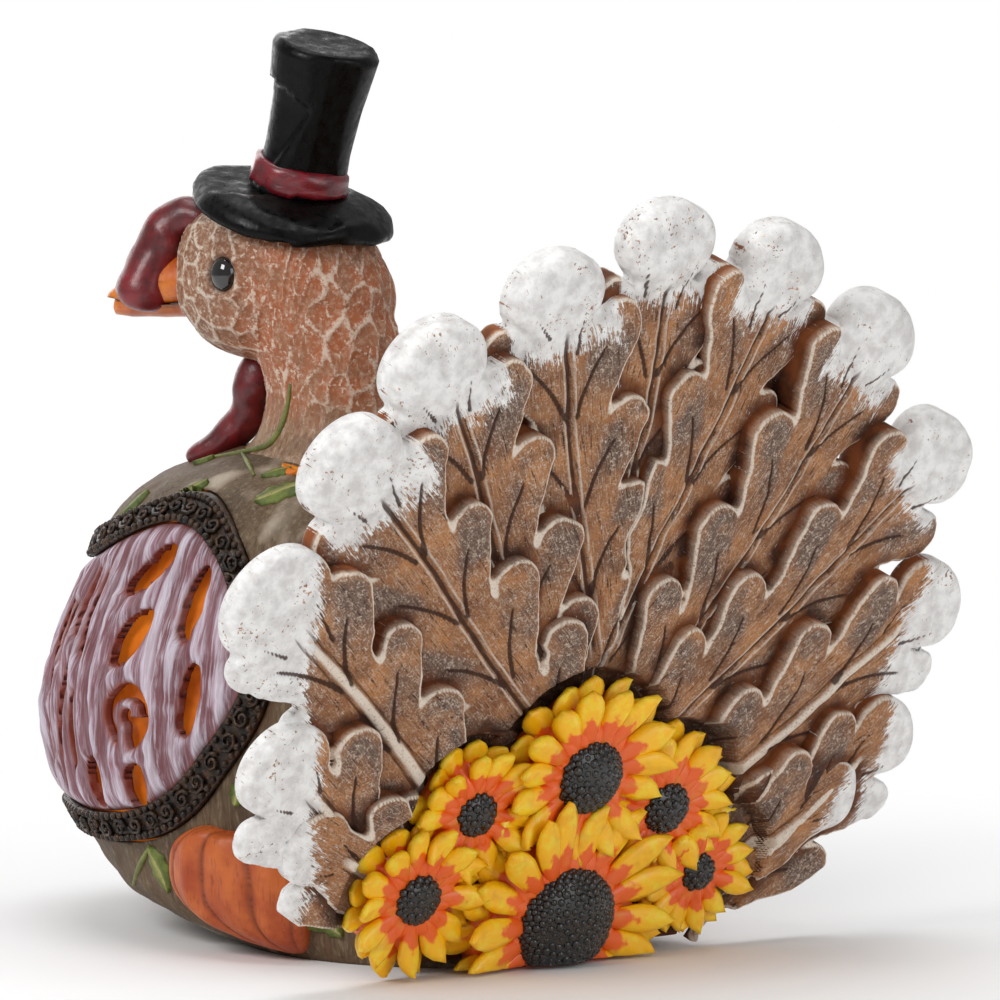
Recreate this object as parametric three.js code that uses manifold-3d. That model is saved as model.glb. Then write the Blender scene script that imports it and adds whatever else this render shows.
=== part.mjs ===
// Table figure of a turkey: a hollow resin body with a lit openwork breast, a leaning fan of oak leaf
// feathers, sunflowers at the tail root, a hat, and a battery light under the base.
// The figure faces -Y, its left side is +X and +Z is up. Lengths are millimetres.
import * as THREE from "three";
import { mergeVertices } from "three/addons/utils/BufferGeometryUtils.js";
import Module from "manifold-3d";

const wasm = await Module();
wasm.setup();

// Clearances between pieces that touch
const GAP = 0.3;
const PANEL_GAP = 0.4;

// Body form: half width, half depth and centre line at each height
const BODY = [
  { z: 0, w: 40, d: 46, y: 9 },
  { z: 6, w: 48, d: 55, y: -6 },
  { z: 20, w: 53.5, d: 65, y: -19 },
  { z: 33, w: 57, d: 70, y: -24.5 },
  { z: 48, w: 58, d: 71, y: -27 },
  { z: 66, w: 55, d: 66, y: -27 },
  { z: 80, w: 49, d: 58, y: -27 },
  { z: 91, w: 43.5, d: 52, y: -27 },
  { z: 99, w: 34, d: 41, y: -27 },
  { z: 105, w: 19, d: 23, y: -27 },
];
const BODY_SIDES = 24;
const BODY_WALL = 4;
const BODY_FLOOR = 8;
const BODY_ROOF = 7;

// Breast panel, drawn on the unrolled body: distance round the body at WRAP_RADIUS, and height
const WRAP_RADIUS = 60;
const PANEL_EDGE = [
  [0, 84],
  [52, 87],
  [96, 98],
  [121, 88],
  [132, 60],
  [120, 38],
  [104, 26],
  [80, 21],
  [44, 21],
  [0, 21],
];
const PANEL_SIDES = 32;
const BAND_WIDTH = 6;
const BAND_RAISE = 1.6;
const GRILLE_RAISE = 0.8;
const LINER_THICK = 1.6;
const LINER_LAP = 2.5;
const SLOT = { wide: 3.2, pitch: 11.6, rib: 4, columns: 6 };
// Wider openings toward the ends of the breast, mirrored on the other side
const END_SLOTS = [
  { s: 94, low: 76, high: 86, lean: 5, wide: 7 },
  { s: 94, low: 61, high: 72, lean: 4, wide: 7 },
  { s: 96, low: 43, high: 57, lean: 0, wide: 13 },
  { s: 84, low: 30, high: 39, lean: 1, wide: 5 },
  { s: 98, low: 31, high: 39, lean: 1, wide: 5 },
  { s: 113, low: 48, high: 62, lean: 1, wide: 4 },
  { s: 111, low: 68, high: 82, lean: 1, wide: 4 },
];

// Neck and head
const HEAD_TURN = 32;
const HEAD = { x: 6, y: -34, z: 143, long: 25, wide: 19, tall: 19 };
const NECK = [
  { z: 95, r: 31, x: 0, y: -27 },
  { z: 101, r: 24, x: 0, y: -25 },
  { z: 108, r: 18.5, x: 0, y: -23.5 },
  { z: 118, r: 15.8, x: 0.5, y: -23 },
  { z: 130, r: 16.5, x: 2.5, y: -25.5 },
  { z: 142, r: 16, x: 5.5, y: -30 },
];
const EYE = { ahead: 8.4, sunk: 2, up: 1, r: 3.3, deep: 2.6 };
const BEAK = { sunk: 3, long: 21, up: -2, tipUp: -7, high: 7, wide: 7.5 };
const BEAK_SPLIT = 0.4;
// Stations of the drooping lobes: ahead of the face for the snood, ahead of the head's middle for the wattle
const SNOOD = [
  { ahead: -1.5, up: 17, r: 3.8 },
  { ahead: 5, up: 12.5, r: 4.8 },
  { ahead: 9, up: 3, r: 5.6 },
  { ahead: 9.5, up: -7, r: 5.6 },
];
const WATTLE = [
  { ahead: 6, up: -17, r: 4 },
  { ahead: 8.5, up: -25, r: 4.6 },
  { ahead: 10.5, up: -32, r: 4.4 },
  { ahead: 17, up: -38, r: 3.6 },
  { ahead: 24, up: -41.5, r: 2.6 },
];

// Hat
const HAT_BACK_TILT = 15;
const HAT_SIDE_TILT = 7;
const HAT = { ahead: -1.5, aside: 0, up: 16.5 };
const BRIM_R = 22;
const BRIM_THICK = 3;
const BRIM_CURL = 0.6;
const BRIM_DROOP = 4.4;
const CROWN_R = 9.6;
const CROWN_TOP_R = 11.2;
const CROWN_TALL = 31;
const HATBAND_TALL = 5.4;
const HATBAND_THICK = 1.3;

// Tail fan: a plane that leans back, with feathers laid on its backing slab
const FAN_Y = 44;
const FAN_LEAN = 16.6;
const BACKING = { up: 84, r: 60, thick: 8 };
const ROOT = { up: 21, wide: 42, tall: 36, forward: 26, raise: 4 };
const CENTRE_FEATHER = { x: 2, up: 164, turn: 0, long: 112 };
const LEFT_FEATHERS = [
  { x: 30.5, up: 154, turn: 18, long: 94 },
  { x: 59.5, up: 140, turn: 30, long: 100 },
  { x: 77, up: 119, turn: 45, long: 96 },
  { x: 92, up: 91, turn: 47, long: 96 },
  { x: 83, up: 54, turn: 47, long: 62 },
  { x: 72, up: 36, turn: 62, long: 32, fingers: [-1] },
];
const RIGHT_FEATHERS = [
  { x: 29, up: 158, turn: 18.5, long: 97 },
  { x: 58, up: 141, turn: 29, long: 100 },
  { x: 81, up: 112.5, turn: 47, long: 98 },
  { x: 86, up: 79, turn: 53, long: 86 },
  { x: 80, up: 49, turn: 49, long: 60 },
  { x: 68, up: 38, turn: 58, long: 32, fingers: [-1] },
];
const FEATHER_LOW = 5;
const FEATHER_STEP = 1;
const SPINE_HALF = 9.5;
// The share is what a finger takes of its pitch, so that the slots between fingers stay open
const FINGER = { long: 27, share: 0.96, turn: 30, pitch: 21, first: 3 };
const TIP = { wide: 12.8, long: 9.8, thick: 5.5, tilt: 16 };

// Sunflowers on the root block: place on the fan plane, flower radius, disc radius, height of the back
const SUNFLOWERS = [
  { name: "low", x: 3, up: 14, r: 28, disc: 12, raise: 6, petals: 20 },
  { name: "top", x: 3, up: 47, r: 21.5, disc: 7.8, raise: 5, petals: 17 },
  { name: "left_low", x: 43, up: 22, r: 17, disc: 5.2, raise: 4, petals: 14 },
  { name: "left_high", x: 30.5, up: 40, r: 15.5, disc: 4.6, raise: 3, petals: 14 },
  { name: "right_high", x: -21.5, up: 37, r: 18, disc: 5.4, raise: 3, petals: 15 },
  { name: "right_low", x: -35, up: 20.5, r: 14.5, disc: 3.9, raise: 2, petals: 13 },
];
const PETAL_THICK = 3;
const PETAL_NOTCH = 0.8;
const DISC_TALL = 0.45;

// Pumpkins in relief on both sides
const PUMPKIN = { angle: 108, z: 17.5, wide: 18, tall: 15.5, raise: 5.5, ribs: 9 };

// Base, battery compartment and light
const OPENING = { wide: 28, deep: 34, round: 16 };
const LEDGE = { round: 2, up: 4 };
const PLATE_THICK = 2.6;
const PLATE_RECESS = 0.8;
const SCREW = { x: 24.3, head: 2.6, headTall: 1.3, shank: 1.3, long: 6 };
const CELL_R = 5.2;
const CELL_LONG = 44;
const CELL_PITCH = 11;
const BOX_WALL = 1.6;
const CONTACT_THICK = 0.5;
const CONTACT_BUMP = 1.8;
const DOOR_THICK = 1.8;
const DOOR_MARGIN = 1.5;
const HINGE_R = 0.8;
const SWITCH = { wide: 9, deep: 4, tall: 5, knob: 2, travel: 3 };
const BOARD = { wide: 18, deep: 14, thick: 1.6 };
const LAMP = { r: 2.5, tall: 8 };
const WIRE_R = 0.7;

const RAD = Math.PI / 180;
const FINGER_R = (FINGER.share * FINGER.pitch * Math.sin(FINGER.turn * RAD)) / 2;
// Blocks that cut a piece off at a plane reach past the whole figure
const REACH = 2 * CENTRE_FEATHER.up;

// Layout of the battery bay and the switch, in plan and in height
const BASE_Y = BODY[0].y;
const plateLow = PLATE_RECESS;
const plateHigh = PLATE_RECESS + PLATE_THICK;
const cellsHalf = (3 * CELL_PITCH) / 2;
const bayHalf = CELL_LONG / 2 + CONTACT_BUMP + CONTACT_THICK + 3 * GAP;
const boxHalfWide = cellsHalf + BOX_WALL;
const boxHalfDeep = bayHalf + BOX_WALL;
const boxLow = plateHigh + GAP;
const cellMid = boxLow + CELL_R + GAP;
const boxHigh = cellMid + CELL_R + GAP + BOX_WALL;
const switchY = BASE_Y + boxHalfDeep + GAP + SWITCH.deep / 2;
const ledgeWide = boxHalfWide + 2 * GAP;
const ledgeDeep = boxHalfDeep + SWITCH.deep + 2 * GAP;

// Solids
function solid(geometry) {
  const bare = new THREE.BufferGeometry().setAttribute("position", geometry.getAttribute("position"));
  if (geometry.index) bare.setIndex(geometry.index);
  const merged = mergeVertices(bare, 1e-4);
  const vertProperties = new Float32Array(merged.attributes.position.array);
  const make = (triVerts) => new wasm.Manifold(new wasm.Mesh({ numProp: 3, vertProperties, triVerts }));
  const triVerts = new Uint32Array(merged.index.array);
  const made = make(triVerts);
  return made.volume() < 0 ? make(triVerts.reverse()) : made;
}

function geometryOf(shape) {
  const mesh = shape.getMesh();
  return new THREE.BufferGeometry()
    .setAttribute("position", new THREE.BufferAttribute(mesh.vertProperties, 3))
    .setIndex(new THREE.BufferAttribute(mesh.triVerts, 1));
}

function largest(shape) {
  return shape.decompose().reduce((a, b) => (a.volume() > b.volume() ? a : b));
}

function warp(geometry, move) {
  const place = geometry.attributes.position;
  const point = new THREE.Vector3();
  for (let i = 0; i < place.count; i++) {
    point.fromBufferAttribute(place, i);
    move(point);
    place.setXYZ(i, point.x, point.y, point.z);
  }
  return geometry;
}

function box(x0, x1, y0, y1, z0, z1) {
  const g = new THREE.BoxGeometry(x1 - x0, y1 - y0, z1 - z0);
  return solid(g.translate((x0 + x1) / 2, (y0 + y1) / 2, (z0 + z1) / 2));
}

function rod(r, z0, z1, x, y) {
  const g = new THREE.CylinderGeometry(r, r, z1 - z0, 12).rotateX(Math.PI / 2);
  return solid(g.translate(x, y, (z0 + z1) / 2));
}

function roundedBlock(halfWide, halfDeep, round, z0, z1, y) {
  const s = new THREE.Shape();
  const corners = [
    [halfWide - round, halfDeep - round, 0],
    [round - halfWide, halfDeep - round, 90],
    [round - halfWide, round - halfDeep, 180],
    [halfWide - round, round - halfDeep, 270],
  ];
  corners.forEach(([cx, cy, from]) => s.absarc(cx, cy, round, from * RAD, (from + 90) * RAD));
  const g = new THREE.ExtrudeGeometry(s, { depth: z1 - z0, bevelEnabled: false, curveSegments: 5 });
  return solid(g.translate(0, y, z0));
}

// Body form

function interpolant(stations, keys) {
  const heights = stations.map((s) => s.z);
  const values = stations.flatMap((s) => keys.map((k) => s[k]));
  const curve = new THREE.CubicInterpolant(heights, values, keys.length, new Float64Array(keys.length));
  return (z) => curve.evaluate(THREE.MathUtils.clamp(z, heights[0], heights.at(-1)));
}

const bodyAt = interpolant(BODY, ["w", "d", "y"]);
const BODY_TOP = BODY.at(-1).z;
const BODY_LEVELS = BODY.map((s) => s.z);

function bodySolid(grow, low, high) {
  const inside = BODY_LEVELS.filter((z) => z > low + 1 && z < high - 1);
  const profile = [[0, low], [1, low], ...inside.map((z) => [1, z]), [1, high], [0, high]];
  const g = new THREE.LatheGeometry(
    profile.map(([r, z]) => new THREE.Vector2(r, z)),
    BODY_SIDES,
  ).rotateX(Math.PI / 2);
  warp(g, (p) => {
    const [w, d, y] = bodyAt(p.z);
    p.set(p.x * (w + grow), p.y * (d + grow) + y, p.z);
  });
  return solid(g);
}

// A point of the body's surface, given round the body and in height, moved out along the level normal
function onBody(round, z, out) {
  const angle = round / WRAP_RADIUS;
  const [w, d, y] = bodyAt(z);
  const normal = new THREE.Vector2(Math.sin(angle) / w, -Math.cos(angle) / d).normalize();
  const x = w * Math.sin(angle) + normal.x * out;
  return new THREE.Vector3(x, y - d * Math.cos(angle) + normal.y * out, z);
}

const bodyClear = bodySolid(GAP, -GAP, BODY_TOP + GAP);

// Breast panel, its band and its liner

const panelCurve = new THREE.CatmullRomCurve3(
  [...PANEL_EDGE, ...PANEL_EDGE.slice(1, -1).reverse().map(([s, z]) => [-s, z])].map(
    ([s, z]) => new THREE.Vector3(s, z, 0),
  ),
  true,
);
const panelRim = panelCurve.getSpacedPoints(PANEL_SIDES);
const PANEL_MID = (PANEL_EDGE[0][1] + PANEL_EDGE.at(-1)[1]) / 2;

function panelOutline(inset) {
  return panelRim.map((p, i) => {
    const before = panelRim[(i + PANEL_SIDES - 1) % PANEL_SIDES];
    const after = panelRim[(i + 1) % PANEL_SIDES];
    const along = new THREE.Vector2(after.x - before.x, after.y - before.y).normalize();
    return new THREE.Vector2(p.x + along.y * inset, p.y - along.x * inset);
  });
}

// A pad of the given outline, bent round the body between two distances from its surface
function bentPad(outline, centre, rings, inner, outer) {
  const sides = outline.length;
  const steps = Array.from({ length: rings }, (_, i) => i / rings);
  const inside = steps.map((r) => [r, inner]);
  const outside = steps.map((r) => [r, outer]).reverse();
  const profile = [...inside, [1, inner], [1, outer], ...outside];
  const g = new THREE.LatheGeometry(
    profile.map(([r, d]) => new THREE.Vector2(r, d)),
    sides,
  );
  warp(g, (p) => {
    const share = Math.hypot(p.x, p.z);
    const turn = Math.atan2(p.x, p.z) / (2 * Math.PI);
    const rim = outline[(Math.round(turn * sides) + sides) % sides];
    const s = centre.x + (rim.x - centre.x) * share;
    const z = centre.y + (rim.y - centre.y) * share;
    p.copy(onBody(s, z, p.y));
  });
  return solid(g);
}

const panelCentre = new THREE.Vector2(0, PANEL_MID);
function panelPad(inset, inner, outer) {
  return bentPad(panelOutline(inset).slice(0, PANEL_SIDES), panelCentre, 8, inner, outer);
}

const CUT = 10;
const panelHole = panelPad(0, -CUT, CUT);
const bandOuter = panelPad(PANEL_GAP, -CUT, CUT);
const bandInner = panelPad(PANEL_GAP + BAND_WIDTH, -CUT, CUT);
const grilleEdge = panelPad(2 * PANEL_GAP + BAND_WIDTH, -CUT, CUT);
const linerEdge = panelPad(-LINER_LAP, -2 * CUT, CUT);
const panelClear = panelPad(-GAP, -CUT, CUT + BAND_RAISE);

const cavity = bodySolid(-BODY_WALL, BODY_FLOOR, BODY_TOP - BODY_ROOF);
const opening = roundedBlock(OPENING.wide, OPENING.deep, OPENING.round, -1, LEDGE.up, BASE_Y);
const ledgeHole = roundedBlock(ledgeWide, ledgeDeep, LEDGE.round, -1, BODY_FLOOR + 1, BASE_Y);
const screwPilots = [-1, 1].map((side) =>
  rod(SCREW.shank + GAP, 0, PLATE_RECESS + SCREW.headTall + SCREW.long + GAP, side * SCREW.x, BASE_Y),
);
const bodyShell = [cavity, opening, ledgeHole, panelHole, ...screwPilots].reduce(
  (a, b) => a.subtract(b),
  bodySolid(0, 0, BODY_TOP),
);

const skin = (out) => bodySolid(out, BODY_FLOOR + GAP, BODY_TOP - BODY_ROOF - GAP);
const behind = skin(-BODY_WALL);
const breastBand = bodySolid(BAND_RAISE, 0, BODY_TOP)
  .subtract(behind)
  .intersect(bandOuter)
  .subtract(bandInner);

// Openwork slots: upright lens shapes in columns round the breast, between the panel's edges
function slotPad({ s, low, high, lean, wide }) {
  const middle = (low + high) / 2;
  const half = (high - low) / 2;
  const outline = Array.from({ length: 6 }, (_, i) => {
    const t = ((i + 0.5) / 6) * 2 * Math.PI;
    const up = Math.sin(t);
    return new THREE.Vector2(s + (wide / 2) * Math.cos(t) + lean * up, middle + half * up);
  });
  return bentPad(outline, new THREE.Vector2(s, middle), 1, -CUT, CUT);
}

function panelSpan(s, inset) {
  const rim = panelOutline(inset);
  const crossings = rim.flatMap((p, i) => {
    const q = rim[(i + 1) % PANEL_SIDES];
    if ((p.x - s) * (q.x - s) > 0 || p.x === q.x) return [];
    return [p.y + ((s - p.x) / (q.x - p.x)) * (q.y - p.y)];
  });
  return [Math.min(...crossings), Math.max(...crossings)];
}

const grilleInset = 2 * PANEL_GAP + BAND_WIDTH;
const slots = END_SLOTS.flatMap((slot) => [slot, { ...slot, s: -slot.s, lean: -slot.lean }]);
for (let column = -SLOT.columns; column <= SLOT.columns; column++) {
  const s = column * SLOT.pitch;
  const [low, high] = panelSpan(s, grilleInset + SLOT.rib);
  const split = low + (high - low) * (column % 2 ? 0.36 : 0.64);
  const lean = Math.sign(column);
  slots.push({ s, low, high: split - SLOT.rib / 2, lean, wide: SLOT.wide });
  slots.push({ s, low: split + SLOT.rib / 2, high, lean: -lean, wide: SLOT.wide });
}
const grilleBlank = bodySolid(GRILLE_RAISE, 0, BODY_TOP).subtract(behind).intersect(grilleEdge);
const breastGrille = slots.reduce((a, slot) => a.subtract(slotPad(slot)), grilleBlank);
const breastLiner = skin(-BODY_WALL - GAP)
  .subtract(bodySolid(-BODY_WALL - GAP - LINER_THICK, BODY_FLOOR, BODY_TOP))
  .intersect(linerEdge);

// Neck and head

const turned = HEAD_TURN * RAD;
const AHEAD = new THREE.Vector3(Math.sin(turned), -Math.cos(turned), 0);
const ASIDE = new THREE.Vector3(Math.cos(turned), Math.sin(turned), 0);
const headMatrix = new THREE.Matrix4()
  .makeBasis(AHEAD, ASIDE, new THREE.Vector3(0, 0, 1))
  .setPosition(HEAD.x, HEAD.y, HEAD.z);
const inHead = (ahead, aside, up) => new THREE.Vector3(ahead, aside, up).applyMatrix4(headMatrix);

function squircle(v, power) {
  return Math.sign(v) * Math.abs(v) ** power;
}

function headSolid(grow) {
  const g = new THREE.SphereGeometry(1, 20, 12).rotateX(Math.PI / 2);
  warp(g, (p) => {
    p.set(
      squircle(p.x, 0.86) * (HEAD.long + grow),
      squircle(p.y, 0.92) * (HEAD.wide + grow),
      squircle(p.z, 0.86) * (HEAD.tall + grow),
    );
  });
  return solid(g.applyMatrix4(headMatrix));
}

function neckSolid(grow) {
  const at = interpolant(NECK, ["r", "x", "y"]);
  const levels = NECK.map((s) => s.z);
  const [low, high] = [levels[0], levels.at(-1)];
  const profile = [[0, low], ...levels.map((z) => [1, z]), [0, high]];
  const g = new THREE.LatheGeometry(
    profile.map(([r, z]) => new THREE.Vector2(r, z)),
    18,
  ).rotateX(Math.PI / 2);
  warp(g, (p) => {
    const [r, x, y] = at(p.z);
    p.set(p.x * (r + grow) + x, p.y * (r + grow) + y, p.z);
  });
  return solid(g);
}

// A drooping lobe: rings of varying radius along stations in the head's own plane
function lobe(stations, grow, sides) {
  const points = stations.map((s) => inHead(s.ahead, 0, s.up));
  const path = new THREE.CatmullRomCurve3(points);
  const steps = 9;
  const last = stations.length - 1;
  const rings = Array.from({ length: steps + 1 }, (_, i) => i / steps);
  const profile = [[0, 0], ...rings.map((t) => [1, t]), [0, 1]];
  const g = new THREE.LatheGeometry(
    profile.map(([r, t]) => new THREE.Vector2(r, t)),
    sides,
  );
  warp(g, (p) => {
    const t = p.y;
    const place = t * last;
    const low = Math.min(Math.floor(place), last - 1);
    const r = THREE.MathUtils.lerp(stations[low].r, stations[low + 1].r, place - low);
    const round = Math.sqrt(1 - Math.min(1, Math.abs(2 * t - 1)) ** 6 * 0.8);
    const along = path.getTangent(t);
    const across = new THREE.Vector3().crossVectors(ASIDE, along).normalize();
    const size = r * round + grow;
    const centre = path.getPoint(t);
    p.copy(centre.addScaledVector(ASIDE, p.x * size).addScaledVector(across, p.z * size));
  });
  return solid(g);
}

const eyeGeometry = (side, grow) => {
  const g = new THREE.SphereGeometry(EYE.r + grow, 10, 7);
  g.scale(1, (EYE.deep + grow) / (EYE.r + grow), 1.15);
  g.rotateZ(side * -24 * RAD);
  return g.translate(EYE.ahead, side * (HEAD.wide - EYE.sunk), EYE.up).applyMatrix4(headMatrix);
};

const hatMatrix = headMatrix
  .clone()
  .multiply(new THREE.Matrix4().makeTranslation(HAT.ahead, HAT.aside, HAT.up))
  .multiply(new THREE.Matrix4().makeRotationX(HAT_SIDE_TILT * -RAD))
  .multiply(new THREE.Matrix4().makeRotationY(HAT_BACK_TILT * -RAD));

function hatLathe(profile, sides) {
  return new THREE.LatheGeometry(
    profile.map(([r, z]) => new THREE.Vector2(r, z)),
    sides,
  ).rotateX(Math.PI / 2);
}

function brimSolid(grow) {
  const g = hatLathe(
    [
      [0, -grow],
      [(BRIM_R + CROWN_R) / 2, -grow],
      [BRIM_R - 2 + grow, -grow],
      [BRIM_R + grow, BRIM_THICK / 2],
      [BRIM_R - 2 + grow, BRIM_THICK + grow],
      [(BRIM_R + CROWN_R) / 2, BRIM_THICK + grow],
      [CROWN_R, BRIM_THICK * 0.8 + grow],
      [0, BRIM_THICK * 0.8 + grow],
    ],
    28,
  );
  warp(g, (p) => {
    const far = Math.max(0, (Math.hypot(p.x, p.y) - CROWN_R) / (BRIM_R - CROWN_R));
    const round = Math.atan2(p.y, p.x);
    p.z += (BRIM_CURL * Math.cos(2 * round) - BRIM_DROOP) * far * far;
  });
  return solid(g.applyMatrix4(hatMatrix));
}

const BRIM_SEAT = BRIM_THICK * 0.8 + GAP;
const crown = solid(
  hatLathe(
    [
      [0, BRIM_SEAT],
      [CROWN_R, BRIM_SEAT],
      [CROWN_R, BRIM_SEAT + HATBAND_TALL + 2 * GAP],
      [CROWN_R * 0.98, BRIM_SEAT + CROWN_TALL * 0.6],
      [CROWN_TOP_R, BRIM_SEAT + CROWN_TALL],
      [0, BRIM_SEAT + CROWN_TALL],
    ],
    20,
  ).applyMatrix4(hatMatrix),
);
const hatBand = solid(
  hatLathe(
    [
      [CROWN_R + GAP, BRIM_SEAT + GAP],
      [CROWN_R + GAP + HATBAND_THICK, BRIM_SEAT + GAP],
      [CROWN_R + GAP + HATBAND_THICK, BRIM_SEAT + GAP + HATBAND_TALL],
      [CROWN_R + GAP, BRIM_SEAT + GAP + HATBAND_TALL],
      [CROWN_R + GAP, BRIM_SEAT + GAP],
    ],
    20,
  ).applyMatrix4(hatMatrix),
);

// Everything above the brim's underside is cleared from the head
const hatClear = solid(
  new THREE.CylinderGeometry(BRIM_R * 2, BRIM_R * 2, HEAD.tall, 24)
    .rotateX(Math.PI / 2)
    .translate(0, 0, HEAD.tall / 2 - GAP)
    .applyMatrix4(hatMatrix),
);
const headCut = [1, -1].map((side) => solid(eyeGeometry(side, GAP)));
const neckHead = [hatClear, bodyClear, ...headCut].reduce(
  (a, b) => a.subtract(b),
  headSolid(0).add(neckSolid(0)),
);
const headClear = headSolid(GAP).add(neckSolid(GAP));
const brim = largest(brimSolid(0).subtract(headClear.subtract(hatClear)));
const hatShade = brimSolid(GAP);

const snoodStations = SNOOD.map((s) => ({ ...s, ahead: s.ahead + HEAD.long }));
const snood = largest(lobe(snoodStations, 0, 10).subtract(headClear).subtract(hatShade));
const wattle = largest(lobe(WATTLE, 0, 10).subtract(headClear).subtract(bodyClear));

function beakSolid(lowCut, highCut) {
  const g = hatLathe(
    [
      [0, 0],
      [1, 0],
      [0.86, 0.35],
      [0.5, 0.75],
      [0.16, 0.96],
      [0, 1],
    ],
    12,
  );
  warp(g, (p) => {
    const up = THREE.MathUtils.lerp(BEAK.up, BEAK.tipUp, Math.max(0, p.z) ** 1.6);
    p.set(HEAD.long - BEAK.sunk + p.z * BEAK.long, p.x * BEAK.wide, up + p.y * BEAK.high);
  });
  const half = box(0, HEAD.long + BEAK.long, -BEAK.wide * 2, BEAK.wide * 2, lowCut, highCut);
  return largest(
    solid(g)
      .intersect(half)
      .transform(headMatrix.toArray())
      .subtract(headClear)
      .subtract(lobe(snoodStations, GAP, 10)),
  );
}

const mouth = BEAK.tipUp + BEAK_SPLIT;
const beakUpper = beakSolid(mouth + GAP / 2, HEAD.tall);
const beakLower = beakSolid(-HEAD.tall, mouth - GAP / 2);

// Tail fan

const lean = FAN_LEAN * RAD;
const fanMatrix = new THREE.Matrix4()
  .makeBasis(
    new THREE.Vector3(1, 0, 0),
    new THREE.Vector3(0, Math.sin(lean), Math.cos(lean)),
    new THREE.Vector3(0, -Math.cos(lean), Math.sin(lean)),
  )
  .multiply(new THREE.Matrix4().makeScale(1, 1, -1))
  .setPosition(0, FAN_Y, 0);
const inFan = (shape) => shape.transform(fanMatrix.toArray());
const ABOVE_FLOOR = PLATE_RECESS;
const room = box(-REACH, REACH, -REACH, REACH, ABOVE_FLOOR, REACH);
const placed = (shape) => largest(inFan(shape).subtract(bodyClear).intersect(room));

function slab(points, z0, z1) {
  const shape = new THREE.Shape(points.map(([x, y]) => new THREE.Vector2(x, y)));
  const g = new THREE.ExtrudeGeometry(shape, { depth: z1 - z0, bevelEnabled: false });
  return solid(g.translate(0, 0, z0));
}

function ellipsePoints(x, y, rx, ry, count) {
  return Array.from({ length: count }, (_, i) => {
    const t = (i / count) * 2 * Math.PI;
    return [x + rx * Math.cos(t), y + ry * Math.sin(t)];
  });
}

function rootBlock(grow, low, high) {
  return slab(ellipsePoints(0, ROOT.up, ROOT.wide + grow, ROOT.tall + grow, 28), low, high);
}

// Rounded finger along a direction, in the fan plane
function fingerPoints(x, y, turn, length, baseHalf, r) {
  const along = [Math.sin(turn), Math.cos(turn)];
  const at = (u, v) => [x + along[0] * u + along[1] * v, y + along[1] * u - along[0] * v];
  const arc = Array.from({ length: 4 }, (_, i) => {
    const t = (90 - i * 60) * RAD;
    return at(length + r * Math.cos(t), -r * Math.sin(t));
  });
  return [at(0, baseHalf), at(0, -baseHalf), ...arc];
}

// The leaf outline of a feather as upright walls between two levels: a spine with fingers on both sides
function leafSlab(f, grow, low, high) {
  const turn = f.turn * RAD;
  const at = (u) => [f.x - Math.sin(turn) * (f.long - u), f.up - Math.cos(turn) * (f.long - u)];
  const [rx, ry] = at(0);
  const spine = fingerPoints(rx, ry, turn, f.long - SPINE_HALF, SPINE_HALF * 0.7 + grow, SPINE_HALF + grow);
  let leaf = slab(spine, low, high);
  for (let u = f.long - TIP.long - FINGER.first; u > FINGER.pitch * 0.6; u -= FINGER.pitch) {
    const [bx, by] = at(u - FINGER.long * 0.75);
    for (const side of f.fingers ?? [-1, 1]) {
      const away = turn + side * FINGER.turn * RAD;
      const finger = fingerPoints(bx, by, away, FINGER.long, FINGER_R * 0.8 + grow, FINGER_R + grow);
      leaf = leaf.add(slab(finger, low, high));
    }
  }
  return leaf;
}

// All the room that a feather takes up on the fan, with its tip
function featherCover(f) {
  const turn = f.turn * RAD;
  const tip = ellipsePoints(0, 0, TIP.wide + GAP, TIP.long + GAP, 18).map(([a, b]) => [
    f.x + Math.cos(turn) * a + Math.sin(turn) * b,
    f.up - Math.sin(turn) * a + Math.cos(turn) * b,
  ]);
  return leafSlab(f, GAP, -TALL, TALL).add(slab(tip, -TALL, TALL));
}

function featherTip(f, level) {
  const g = new THREE.SphereGeometry(1, 12, 6)
    .scale(TIP.wide, TIP.long, TIP.thick)
    .rotateX(TIP.tilt * -RAD)
    .rotateZ(f.turn * -RAD);
  return solid(g.translate(f.x, f.up, level - TIP.thick * 0.45));
}

const TALL = 40;
const leftHalf = box(GAP / 2, REACH, -REACH, REACH, -TALL, TALL);
const rootClear = rootBlock(GAP, -TALL, TALL);
const feathers = new Map();
const centreTip = featherTip(CENTRE_FEATHER, FEATHER_LOW);
let centreFeather = leafSlab(CENTRE_FEATHER, 0, GAP, FEATHER_LOW).add(centreTip);
for (const [side, row] of [
  ["left", LEFT_FEATHERS],
  ["right", RIGHT_FEATHERS],
]) {
  const covers = row.map(featherCover);
  const onSide = (shape) => (side === "left" ? shape : shape.mirror([1, 0, 0]));
  row.forEach((f, i) => {
    const level = FEATHER_LOW + FEATHER_STEP * (i + 1);
    const blank = leafSlab(f, 0, GAP, level).add(featherTip(f, level)).subtract(rootClear);
    const leaf = covers.slice(i + 1).reduce((a, b) => a.subtract(b), blank);
    feathers.set("feather_" + side + "_" + (i + 1), onSide(leaf.intersect(leftHalf)));
  });
  centreFeather = covers.reduce((a, b) => a.subtract(onSide(b)), centreFeather);
}
feathers.set("feather_centre", centreFeather);

const backing = slab(ellipsePoints(0, BACKING.up, BACKING.r, BACKING.r, 30), -BACKING.thick, 0);
const tailBacking = placed(backing.add(rootBlock(0, -ROOT.forward, ROOT.raise)));

// Sunflowers

function petalPoints(f, grow) {
  const steps = f.petals * 2;
  return Array.from({ length: steps }, (_, i) => {
    const t = (i / steps) * 2 * Math.PI;
    const wave = i % 2 ? PETAL_NOTCH : 1;
    return [f.x + (f.r * wave + grow) * Math.sin(t), f.up + (f.r * wave + grow) * Math.cos(t)];
  });
}

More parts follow.
